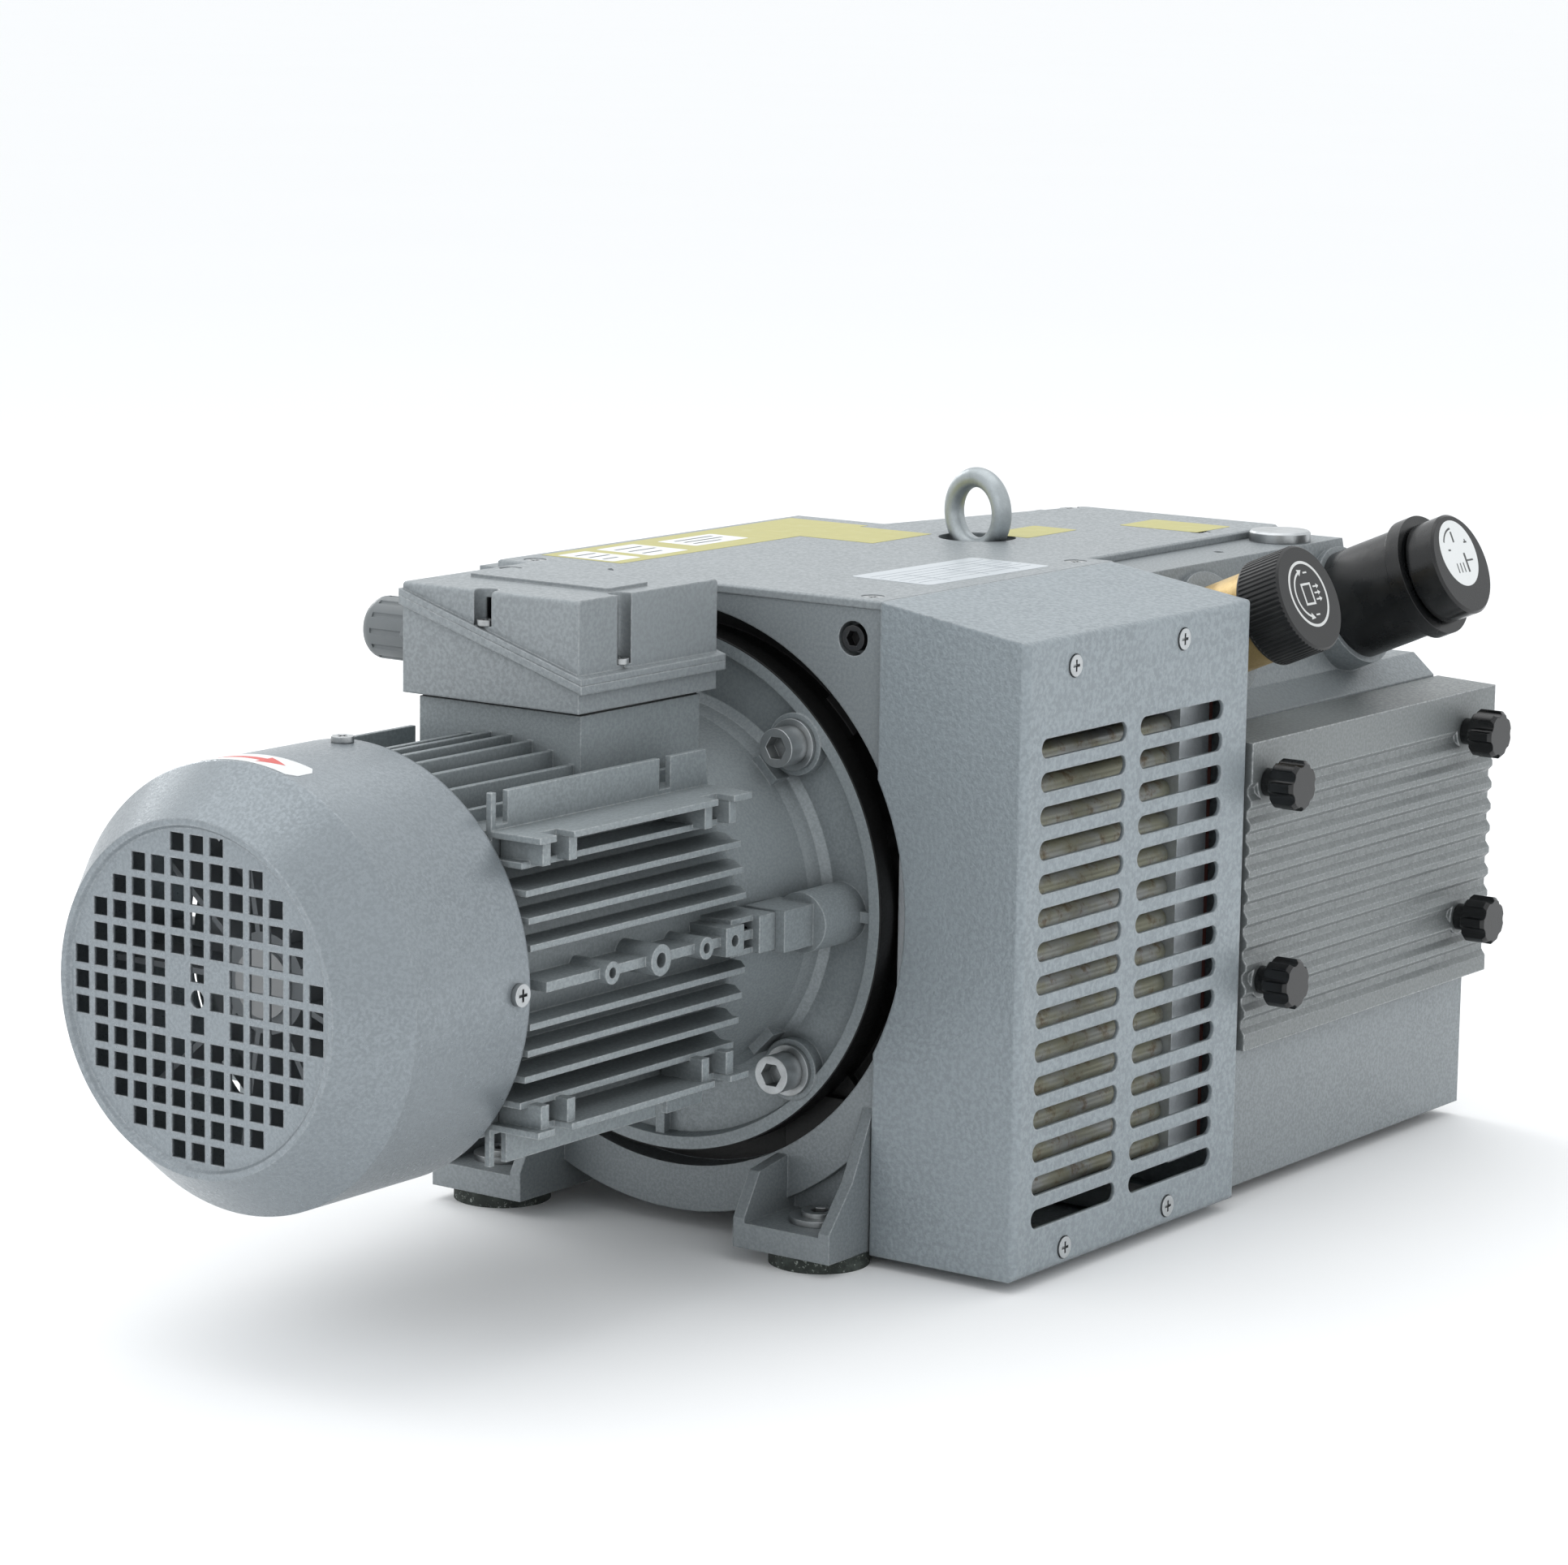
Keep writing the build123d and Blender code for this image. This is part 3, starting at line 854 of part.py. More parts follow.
with BuildPart() as hood_brackets:
    for x, z in HOOD_SCREWS:
        reach = HOOD_FACE + SHEET + 0.1
        block((x - 8, x + 8), (reach, HOOD_BACK + 1.0), (z - 5.5, z + 5.5))
        disc(out_plane(x, reach - 1, z), HOOD_SCREW_R + 0.1, -14.0, mode=Mode.SUBTRACT)
save(hood_brackets, "hood_brackets")

# ---------------------------------------------------------------- lid and lifting eye
BACK_EDGE_Y = 105.0
LID_X0 = FLANGE_FRONT + 8.0
with BuildPart() as lid:
    prism(Plane.XY.offset(TOP_OF_CASTING),
          [(LID_X0, HOOD_BACK + 0.4), (LID_X0, BACK_EDGE_Y), (STEP_X - 1, BACK_EDGE_Y),
           (STEP_X - 1, UPPER_BACK + 6),
           (UPPER_END - 1, 18.0), (UPPER_END - 1, LID_EDGE_Y), (FILTER_START, LID_EDGE_Y),
           (FILTER_START, HOOD_BACK + 0.4)], LID_T)
    fillet(lid.edges().filter_by(Axis.Z).group_by(Axis.X)[-1], 6.0)
    chamfer(lid.faces().sort_by(Axis.Z)[-1].edges(), 0.8)
    disc(up_plane(*EYE_XY, TOP_OF_CASTING - 1), EYE_HOLE_R, LID_T + 2, mode=Mode.SUBTRACT)
    disc(up_plane(*PLUG_XY, TOP_OF_CASTING - 1), PLUG_R + 0.5, LID_T + 2, mode=Mode.SUBTRACT)
    for x, y in LID_SCREWS:
        disc(up_plane(x, y, TOP_OF_CASTING - 1), LID_SCREW_R + 0.3, LID_T + 2, mode=Mode.SUBTRACT)
        disc(up_plane(x, y, LID_Z - 2.2), 5.6, 4.0, mode=Mode.SUBTRACT)
save(lid, "lid")

with BuildPart() as lid_screws:
    for x, y in LID_SCREWS:
        shank = 10.0 if x > BODY_START else 1.7
        cross_screw(up_plane(x, y, LID_Z - 2.2), 5.2, 1.8, LID_SCREW_R - 0.5, shank)
save(lid_screws, "lid_screws")

with BuildPart() as filler_plug:
    disc(up_plane(*PLUG_XY, TOP_OF_CASTING), PLUG_R, LID_T + 1.5)
    chamfer(filler_plug.edges().filter_by(GeomType.CIRCLE).sort_by(Axis.Z)[-1], 1.0)
save(filler_plug, "filler_plug")

EYE_RING_R = 17.5           # M10 lifting eye: 25 inside, 45 outside
EYE_WIRE_R = 5.0
EYE_TURN = -14.0
with BuildPart() as lifting_eye:
    ring_centre = (*EYE_XY, LID_Z + EYE_RING_R - EYE_WIRE_R)
    ring_plane = Plane(origin=ring_centre, x_dir=(-sin(radians(EYE_TURN)), cos(radians(EYE_TURN)), 0),
                       z_dir=(cos(radians(EYE_TURN)), sin(radians(EYE_TURN)), 0))
    with Locations(ring_plane):
        Torus(EYE_RING_R, EYE_WIRE_R)
    disc(up_plane(*EYE_XY, TOP_OF_CASTING - 8.0), 12.5, 5.0)
    disc(up_plane(*EYE_XY, TOP_OF_CASTING - 4.0), 7.5, 6.0)
    disc(up_plane(*EYE_XY, TOP_OF_CASTING - 8.0), EYE_THREAD_R - 0.1, -20.0)
save(lifting_eye, "lifting_eye")

# ---------------------------------------------------------------- filter cover
COVER_T = FILTER_SEAM - FILTER_FACE
RIB_COUNT = 11
RIB_PITCH = 11.4
RIB_DEPTH = 2.2
COVER_SKIN = 5.0
RIB_TOP = FILTER_TOP - 21.0
rib_points = [(FILTER_SEAM - FACE_GAP, FILTER_BOTTOM + 0.5), (FILTER_SEAM - FACE_GAP, FILTER_TOP),
              (FILTER_FACE, FILTER_TOP - 1.5)]
for rib in range(RIB_COUNT):
    top = RIB_TOP - rib * RIB_PITCH
    rib_points += [(FILTER_FACE, top), (FILTER_FACE + RIB_DEPTH, top - 2.4),
                   (FILTER_FACE + RIB_DEPTH, top - 5.6), (FILTER_FACE, top - 8.6)]
rib_points.append((FILTER_FACE, FILTER_BOTTOM + 0.5))
with BuildPart() as filter_cover:
    prism(across.offset(FILTER_START), rib_points, FILTER_END - FILTER_START)
    block((FILTER_START + COVER_SKIN, FILTER_END - COVER_SKIN),
          (FILTER_FACE + RIB_DEPTH + COVER_SKIN, FILTER_SEAM + 1),
          (FILTER_BOTTOM + COVER_SKIN, FILTER_TOP - COVER_SKIN), mode=Mode.SUBTRACT)
    for x in KNOB_X:
        for z in KNOB_Z:
            disc(out_plane(x, FILTER_SEAM - FACE_GAP, z), PILLAR_R, COVER_T - FACE_GAP)
            disc(out_plane(x, FILTER_SEAM + 1, z), STUD_R + 0.1, COVER_T + 4, mode=Mode.SUBTRACT)
save(filter_cover, "filter_cover")

KNOB_NECK_R = 6.8
KNOB_NECK_L = 6.0
KNOB_HEAD_R = 12.3
KNOB_HEAD_L = 14.0
KNOB_LOBES = 7
knob_number = 0
for x in KNOB_X:
    for z in KNOB_Z:
        knob_number += 1
        with BuildPart() as knob:
            foot = out_plane(x, FILTER_FACE - FACE_GAP, z)
            disc(foot.offset(KNOB_NECK_L), KNOB_HEAD_R, KNOB_HEAD_L)
            chamfer(knob.edges().filter_by(GeomType.CIRCLE), 1.6)
            with BuildSketch(foot.offset(KNOB_NECK_L - 1)) as scallops:
                with PolarLocations(KNOB_HEAD_R + 1.4, KNOB_LOBES):
                    Circle(3.9)
            extrude(scallops.sketch, amount=KNOB_HEAD_L + 2, mode=Mode.SUBTRACT)
            disc(foot, KNOB_NECK_R, KNOB_NECK_L + 1)
            disc(foot, STUD_R, -(COVER_T + 12.0))
        save(knob, f"star_knob_{knob_number}")

with BuildPart() as filter_cartridges:
    for z in (FILTER_BOTTOM + 40, FILTER_TOP - 40):
        with BuildSketch(across.offset(FILTER_START + HOUSING_WALL + 16)) as cartridge:
            with Locations(((FILTER_CAVITY_Y + FILTER_SEAM) / 2, z)):
                Rectangle(44.0, 56.0)
                Rectangle(24.0, 36.0, mode=Mode.SUBTRACT)
        extrude(cartridge.sketch, amount=FILTER_END - FILTER_START - 2 * HOUSING_WALL - 60)
save(filter_cartridges, "filter_cartridges")

# ---------------------------------------------------------------- regulating valves
SPINDLE_R = 5.0
KNURL_COUNT = 64
PLUNGER_TRAVEL = 6.0
for valve, x, body_r, body_l, knob_r, knob_l, ring_r in (
        ("pressure_valve", VALVE_X[0], 23.0, 28.0, 26.5, 25.0, 0.0),
        ("vacuum_valve", VALVE_X[1], 28.0, 48.0, 26.0, 17.0, 31.0)):
    base = VALVE_BOSS_L
    top = base + body_l
    bore = body_r - 5.0
    with BuildPart() as valve_body:
        disc(valve_plane(x, base), body_r, body_l)
        if ring_r:
            disc(valve_plane(x, top - 8.0), ring_r, 8.0)
        disc(valve_plane(x, base - 0.5), bore, body_l - 5.5, mode=Mode.SUBTRACT)
        disc(valve_plane(x, top - 8.0), SPINDLE_R + RUNNING, 10.0, mode=Mode.SUBTRACT)
    save(valve_body, f"{valve}_body")
    with BuildPart() as valve_knob:
        disc(valve_plane(x, top + FACE_GAP), knob_r, knob_l)
        chamfer(valve_knob.edges().filter_by(GeomType.CIRCLE), 1.2)
        if not ring_r:
            with BuildSketch(valve_plane(x, top + FACE_GAP + 2.0)) as knurl:
                with PolarLocations(knob_r + 0.35, KNURL_COUNT):
                    Circle(0.85)
            extrude(knurl.sketch, amount=knob_l - 3.0, mode=Mode.SUBTRACT)
        disc(valve_plane(x, base + PLUNGER_TRAVEL + 4.0), SPINDLE_R, body_l - PLUNGER_TRAVEL)
    save(valve_knob, f"{valve}_knob")
    with BuildPart() as plunger:
        disc(valve_plane(x, base + 0.2), bore - 0.4, 3.0)
        disc(valve_plane(x, base - 5.0), VALVE_BORE_R - 1.0, 5.4)
    save(plunger, f"{valve}_plunger")

# ---------------------------------------------------------------- feet
with BuildPart() as rubber_feet:
    for x in FOOT_X:
        for y in FOOT_Y:
            disc(up_plane(x, y, 0), FOOT_R, BODY_BOTTOM, FOOT_HOLE_R)
save(rubber_feet, "rubber_feet")

with BuildPart() as foot_bolts:
    for y in FOOT_Y:
        plane = up_plane(FOOT_X[0], y, BODY_BOTTOM + FOOT_T)
        disc(plane, 14.0, FOOT_WASHER_T)
        disc(plane.offset(FOOT_WASHER_T), 8.5, 2.2)
        hexagon(plane.offset(FOOT_WASHER_T + 2.2), 8.0, -4.5, Mode.SUBTRACT)
        disc(plane, FOOT_BOLT_R, -(FOOT_T - FOOT_BOLT_GAP))
save(foot_bolts, "foot_bolts")
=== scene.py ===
"""Looks of a dry rotary vane vacuum pump with a flanged electric motor.

Metres, in the part's own frame: +X along the shaft from the motor's fan to the pump end, +Z up, and the
floor at Z = 0.
"""
from __future__ import annotations

import json
import logging
import math
from dataclasses import dataclass, field
from enum import Enum
from typing import Callable, Iterable, Sequence

import bpy
from mathutils import Matrix, Vector


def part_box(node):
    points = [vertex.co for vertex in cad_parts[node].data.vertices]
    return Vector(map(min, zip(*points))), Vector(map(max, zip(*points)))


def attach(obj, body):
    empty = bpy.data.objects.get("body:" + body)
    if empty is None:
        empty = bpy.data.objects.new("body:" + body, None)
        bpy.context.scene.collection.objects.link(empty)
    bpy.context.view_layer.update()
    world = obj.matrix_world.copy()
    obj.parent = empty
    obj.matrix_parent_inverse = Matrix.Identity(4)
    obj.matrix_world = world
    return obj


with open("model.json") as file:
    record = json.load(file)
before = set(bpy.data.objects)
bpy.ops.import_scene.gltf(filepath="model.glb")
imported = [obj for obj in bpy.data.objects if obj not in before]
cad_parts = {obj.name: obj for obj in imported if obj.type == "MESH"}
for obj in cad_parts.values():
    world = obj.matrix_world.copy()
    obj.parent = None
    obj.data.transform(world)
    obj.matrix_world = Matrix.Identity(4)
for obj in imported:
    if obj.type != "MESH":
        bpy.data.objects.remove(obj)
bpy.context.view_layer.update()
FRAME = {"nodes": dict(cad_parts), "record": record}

LOG = logging.getLogger("vacuum_pump")
MM = 0.001
Colour = tuple[float, float, float]
Point2 = tuple[float, float]

# shared colours
# pale edge colour: paint rubbed to metal together with a painted highlight
WORN_AND_HIGHLIT_EDGE: Colour = (0.72, 0.74, 0.75)
# painted shade: black for surfaces in the narrow clearance round the shaft, where shadow falls
GAP_SHADE_BLACK: Colour = (0.004, 0.004, 0.004)
DUST: Colour = (0.35, 0.35, 0.33)

# shared sizes, in millimetres
SHAFT_HEIGHT = 164.0
LID_TOP = 308.5
COVER_R = 97.0
VALVE_TILT = 23.5
VALVE_X = (80.0, 213.0)
MANIFOLD_END = 19.0


def shade(colour: Colour, factor: float) -> Colour:
    """A colour made darker or paler.

    Args:
        colour: The colour.
        factor: What each channel is multiplied by.

    Returns:
        The new colour, at most 1 in each channel.
    """
    return tuple(min(1.0, c * factor) for c in colour)


class Slot(str, Enum):
    """Material slots of the record; each new piece keeps one, while its finish is given on its own."""

    SHEET_PAINT = "sheet_paint"
    COVER_PAINT = "cover_paint"
    BLACK_PLASTIC = "black_plastic"
    RUBBER = "coupling_rubber"


class Body(str, Enum):
    """Bodies that new pieces ride on."""

    ROOT = "root"
    PRESSURE_KNOB = "pressure_valve_knob"
    VACUUM_KNOB = "vacuum_valve_knob"


# ---------------------------------------------------------------- material graphs
class Graph:
    """The nodes of one material, with the few patterns that the finishes share."""

    def __init__(self, name: str) -> None:
        """Start a material with an empty Principled shader.

        Args:
            name: The material's name.
        """
        self.material = bpy.data.materials.new(name)
        self.material.use_nodes = True
        self.tree = self.material.node_tree
        self.tree.nodes.clear()
        self.output = self.tree.nodes.new("ShaderNodeOutputMaterial")
        self.shader = self.tree.nodes.new("ShaderNodeBsdfPrincipled")
        self.join(self.shader.outputs[0], self.output.inputs["Surface"])
        self.place = self.tree.nodes.new("ShaderNodeTexCoord").outputs["Object"]

    def join(self, source: bpy.types.NodeSocket, target: bpy.types.NodeSocket) -> None:
        """Link one socket to another."""
        self.tree.links.new(source, target)

    def put(self, target: bpy.types.NodeSocket, value: object) -> None:
        """Give a socket a number, a colour or the output of another node.

        Args:
            target: The socket to fill.
            value: A number, a colour, a vector or another node's output.
        """
        if isinstance(value, bpy.types.NodeSocket):
            self.join(value, target)
        elif isinstance(value, (int, float)):
            target.default_value = value
        else:
            values = tuple(value)
            target.default_value = (*values, 1.0) if len(values) == 3 and target.type == "RGBA" else values

    def stretched(self, scale: Sequence[float]) -> bpy.types.NodeSocket:
        """Object coordinates scaled by axis.

        Args:
            scale: Factor along X, Y and Z.

        Returns:
            The scaled coordinates.
        """
        node = self.tree.nodes.new("ShaderNodeMapping")
        self.join(self.place, node.inputs["Vector"])
        node.inputs["Scale"].default_value = scale
        return node.outputs["Vector"]

    def noise(self, size: float, detail: float = 2.0, rough: float = 0.5,
              at: bpy.types.NodeSocket | None = None) -> bpy.types.NodeSocket:
        """Cloudy noise.

        Args:
            size: Size of its features, in millimetres.
            detail: Octaves of detail.
            rough: Strength of the finer octaves.
            at: Coordinates, object coordinates if left out.

        Returns:
            The noise, from 0 to 1.
        """
        node = self.tree.nodes.new("ShaderNodeTexNoise")
        self.join(at or self.place, node.inputs["Vector"])
        node.inputs["Scale"].default_value = 1.0 / (size * MM)
        node.inputs["Detail"].default_value = detail
        node.inputs["Roughness"].default_value = rough
        return node.outputs["Fac"]

    def cells(self, size: float, at: bpy.types.NodeSocket | None = None, output: str = "Distance",
              feature: str = "F1") -> bpy.types.NodeSocket:
        """Cells of a Voronoi pattern.

        Args:
            size: Size of a cell, in millimetres.
            at: Coordinates, object coordinates if left out.
            output: Which output to return.
            feature: The node's feature.

        Returns:
            The chosen output.
        """
        node = self.tree.nodes.new("ShaderNodeTexVoronoi")
        node.feature = feature
        self.join(at or self.place, node.inputs["Vector"])
        node.inputs["Scale"].default_value = 1.0 / (size * MM)
        return node.outputs[output]

    def wave(self, size: float, direction: str, distortion: float = 0.0) -> bpy.types.NodeSocket:
        """Parallel bands.

        Args:
            size: Distance from band to band, in millimetres.
            direction: X, Y or Z.
            distortion: How far the bands wander.

        Returns:
            The bands, from 0 to 1.
        """
        node = self.tree.nodes.new("ShaderNodeTexWave")
        node.bands_direction = direction
        self.join(self.place, node.inputs["Vector"])
        node.inputs["Scale"].default_value = math.pi / 10.0 / (size * MM)
        node.inputs["Distortion"].default_value = distortion
        return node.outputs["Fac"]

    def maths(self, operation: str, first: object, second: object = 0.0,
              clamp: bool = False) -> bpy.types.NodeSocket:
        """One arithmetic step.

        Args:
            operation: The node's operation.
            first: First operand.
            second: Second operand.
            clamp: Whether the result stays from 0 to 1.

        Returns:
            The result.
        """
        node = self.tree.nodes.new("ShaderNodeMath")
        node.operation = operation
        node.use_clamp = clamp
        self.put(node.inputs[0], first)
        self.put(node.inputs[1], second)
        return node.outputs[0]

    def between(self, value: bpy.types.NodeSocket, low: float, high: float, to_low: float = 0.0,
                to_high: float = 1.0) -> bpy.types.NodeSocket:
        """A value remapped smoothly from one range to another.

        Args:
            value: The value.
            low: Lowest value read.
            high: Highest value read.
            to_low: Result at low.
            to_high: Result at high.

        Returns:
            The remapped value.
        """
        node = self.tree.nodes.new("ShaderNodeMapRange")
        node.interpolation_type = "SMOOTHSTEP"
        self.put(node.inputs["Value"], value)
        node.inputs["From Min"].default_value = low
        node.inputs["From Max"].default_value = high
        node.inputs["To Min"].default_value = to_low
        node.inputs["To Max"].default_value = to_high
        return node.outputs["Result"]

    def blend(self, share: object, first: object, second: object, mode: str = "MIX") -> bpy.types.NodeSocket:
        """Two colours mixed.

        Args:
            share: How much of the second colour.
            first: First colour.
            second: Second colour.
            mode: Blend mode.

        Returns:
            The mixed colour.
        """
        node = self.tree.nodes.new("ShaderNodeMix")
        node.data_type = "RGBA"
        node.blend_type = mode
        self.put(node.inputs[0], share)
        self.put(node.inputs[6], first)
        self.put(node.inputs[7], second)
        return node.outputs[2]

    def relief(self, height: bpy.types.NodeSocket, depth: float, strength: float = 1.0,
               under: bpy.types.NodeSocket | None = None) -> bpy.types.NodeSocket:
        """A bump.

        Args:
            height: Height pattern, from 0 to 1.
            depth: Depth of the relief, in millimetres.
            strength: Share of the bump that shows.
            under: Normal that it is laid on.

        Returns:
            The bumped normal.
        """
        node = self.tree.nodes.new("ShaderNodeBump")
        self.join(height, node.inputs["Height"])
        node.inputs["Distance"].default_value = depth * MM
        node.inputs["Strength"].default_value = strength
        if under is not None:
            self.join(under, node.inputs["Normal"])
        return node.outputs["Normal"]

    def soft_edges(self, radius: float) -> tuple[bpy.types.NodeSocket, bpy.types.NodeSocket]:
        """Edges rounded in the shading.

        Args:
            radius: Edge radius, in millimetres.

        Returns:
            The rounded normal, and a mask that is 1 on the edges.
        """
        bevel = self.tree.nodes.new("ShaderNodeBevel")
        bevel.samples = 6
        bevel.inputs["Radius"].default_value = radius * MM
        face = self.tree.nodes.new("ShaderNodeNewGeometry").outputs["Normal"]
        dot = self.tree.nodes.new("ShaderNodeVectorMath")
        dot.operation = "DOT_PRODUCT"
        self.join(bevel.outputs["Normal"], dot.inputs[0])
        self.join(face, dot.inputs[1])
        mask = self.between(dot.outputs["Value"], 0.80, 0.99, 1.0, 0.0)
        return bevel.outputs["Normal"], mask

    def painted_crease_shade(self, reach: float) -> bpy.types.NodeSocket:
        """A mask that is 1 in corners and recesses, for painted shade where little light reaches.

        Args:
            reach: How far the painted shade spreads, in millimetres.

        Returns:
            The mask.
        """
        node = self.tree.nodes.new("ShaderNodeAmbientOcclusion")
        node.samples = 4
        node.inputs["Distance"].default_value = reach * MM
        return self.between(node.outputs["AO"], 0.35, 0.95, 1.0, 0.0)


    def ring(self, low: float, high: float, behind: float) -> bpy.types.NodeSocket:
        """A mask that is 1 between two distances from the shaft, from one place along it onwards.

        Args:
            low: Nearest distance, in millimetres.
            high: Farthest distance, in millimetres.
            behind: Where the mask starts along the shaft, in millimetres.

        Returns:
            The mask.
        """
        split = self.tree.nodes.new("ShaderNodeSeparateXYZ")
        self.join(self.place, split.inputs[0])
        rise = self.maths("SUBTRACT", split.outputs["Z"], SHAFT_HEIGHT * MM)
        out = self.maths("POWER", split.outputs["Y"], 2.0)
        reach = self.maths("SQRT", self.maths("ADD", self.maths("POWER", rise, 2.0), out))
        within = self.maths("MULTIPLY", self.maths("GREATER_THAN", reach, low * MM),
                            self.maths("LESS_THAN", reach, high * MM))
        return self.maths("MULTIPLY", within, self.maths("GREATER_THAN", split.outputs["X"], behind * MM))


class Finish:
    """A finish that makes its material once and hands it out."""

    name: str

    def make(self) -> bpy.types.Material:
        """Build the material.

        Returns:
            The new material.
        """
        raise NotImplementedError

    def material(self) -> bpy.types.Material:
        """Return the finish's material, built on first use."""
        return bpy.data.materials.get(self.name) or self.make()


@dataclass(frozen=True)
class HammerPaint(Finish):
    """Silver hammer paint: fine pits, pale flakes with painted glints, edges paler from rubbing and a painted
    highlight, painted shade in corners and an optional painted black shade round the shaft.
    """

    name: str
    base: Colour
    pit: float = 1.5
    depth: float = 0.10
    cast: float = 0.0
    metallic: float = 0.30
    roughness: float = 0.42
    edge: float = 1.0
    edge_wear_and_highlight: float = 0.30
    corner_shade: float = 0.40
    # radii and start along the shaft of the painted black shade, in millimetres
    gap_shade: tuple[float, float, float] | None = None

    def make(self) -> bpy.types.Material:
        """Build the paint.

        Returns:
            The new material.
        """
        graph = Graph(self.name)
        normal, edge = graph.soft_edges(self.edge)
        stipple = graph.noise(self.pit, 2.0, 0.55)
        fine = graph.noise(self.pit * 0.42, 1.0, 0.5)
        cloud = graph.noise(46.0, 3.0, 0.55)
        flake_glint = graph.cells(0.9, output="Color")
        dark, pale = shade(self.base, 0.90), shade(self.base, 1.10)
        colour = graph.blend(graph.between(stipple, 0.36, 0.66), dark, pale)
        colour = graph.blend(graph.between(cloud, 0.3, 0.7, 0.0, 0.30), colour, shade(self.base, 1.12))
        # Pale flakes brightened further as painted glints of the metallic pigment.
        colour = graph.blend(graph.between(flake_glint, 0.86, 0.98, 0.0, 0.22), colour, shade(self.base, 1.5))
        # Paler edges: partly paint rubbed down to metal, partly a painted highlight where rounded edges catch
        # light.
        worn_and_highlit = graph.maths("MULTIPLY", edge, graph.between(graph.noise(3.0, 3.0, 0.7), 0.38, 0.62, 0.25, 1.0))
        worn_and_highlit = graph.maths("MULTIPLY", worn_and_highlit, self.edge_wear_and_highlight)
        colour = graph.blend(worn_and_highlit, colour, WORN_AND_HIGHLIT_EDGE)
        # Painted shade: corners and recesses darkened towards a deep tone of the base, where light reaches
        # less.
        corner = graph.maths("MULTIPLY", graph.painted_crease_shade(14.0), self.corner_shade)
        colour = graph.blend(corner, colour, shade(self.base, 0.42))
        # Painted shade: surfaces inside the narrow clearance round the shaft turn black, standing in for the
        # shadow there.
        if self.gap_shade is not None:
            colour = graph.blend(graph.ring(*self.gap_shade), colour, GAP_SHADE_BLACK)
        graph.put(graph.shader.inputs["Base Color"], colour)
        graph.shader.inputs["Metallic"].default_value = self.metallic
        graph.put(graph.shader.inputs["Roughness"],
                  graph.between(stipple, 0.3, 0.7, self.roughness + 0.07, self.roughness - 0.06))
        height = graph.maths("ADD", stipple, graph.maths("MULTIPLY", fine, 0.45))
        normal = graph.relief(height, self.depth, 1.0, normal)
        if self.cast > 0:
            normal = graph.relief(graph.noise(9.0, 4.0, 0.62), self.cast, 0.8, normal)
        graph.put(graph.shader.inputs["Normal"], normal)
        return graph.material


@dataclass(frozen=True)
class Metal(Finish):
    """Bare or plated metal with fine grain, soft edges and painted shade in recesses."""

    name: str
    base: Colour
    stain: Colour
    grain: float = 0.7
    spread: float = 12.0
    roughness: float = 0.34
    metallic: float = 0.95
    depth: float = 0.05
    edge: float = 0.6
    stained: float = 0.5
    recess_shade: float = 0.75

    def make(self) -> bpy.types.Material:
        """Build the metal.

        Returns:
            The new material.
        """
        graph = Graph(self.name)
        normal, edge = graph.soft_edges(self.edge)
        cloud = graph.noise(self.spread, 4.0, 0.6)
        grain = graph.noise(self.grain, 2.0, 0.6)
        colour = graph.blend(graph.between(cloud, 0.42, 0.68, 0.0, self.stained), self.base, self.stain)
        colour = graph.blend(graph.between(grain, 0.3, 0.7, 0.0, 0.25), colour, shade(self.base, 0.7))
        colour = graph.blend(graph.maths("MULTIPLY", edge, 0.4), colour, shade(self.base, 1.35))
        # Painted shade: recesses such as socket holes darkened almost to black.
        corner = graph.maths("MULTIPLY", graph.painted_crease_shade(7.0), self.recess_shade)
        colour = graph.blend(corner, colour, shade(self.base, 0.12))
        graph.put(graph.shader.inputs["Base Color"], colour)
        graph.shader.inputs["Metallic"].default_value = self.metallic
        graph.put(graph.shader.inputs["Roughness"],
                  graph.between(cloud, 0.3, 0.7, self.roughness - 0.06, self.roughness + 0.12))
        graph.put(graph.shader.inputs["Normal"], graph.relief(grain, self.depth, 0.7, normal))
        return graph.material


@dataclass(frozen=True)
class Plastic(Finish):
    """Moulded plastic with a fine spark-eroded grain, dust in the corners and rubbed edges."""

    name: str
    base: Colour
    grain: float = 0.6
    depth: float = 0.05
    roughness: float = 0.42
    edge: float = 0.5
    rubbed: float = 0.25
    dust: float = 0.12

    def make(self) -> bpy.types.Material:
        """Build the plastic.

        Returns:
            The new material.
        """
        graph = Graph(self.name)
        normal, edge = graph.soft_edges(self.edge)
        grain = graph.noise(self.grain, 2.0, 0.6)
        cloud = graph.noise(18.0, 4.0, 0.6)
        pale = tuple(min(1.0, c * 2.2 + 0.02) for c in self.base)
        colour = graph.blend(graph.between(cloud, 0.4, 0.72, 0.0, self.dust), self.base, DUST)
        colour = graph.blend(graph.maths("MULTIPLY", edge, self.rubbed), colour, pale)
        graph.put(graph.shader.inputs["Base Color"], colour)
        graph.put(graph.shader.inputs["Roughness"],
                  graph.between(cloud, 0.3, 0.7, self.roughness - 0.05, self.roughness + 0.10))
        graph.put(graph.shader.inputs["Normal"], graph.relief(grain, self.depth, 0.8, normal))
        return graph.material


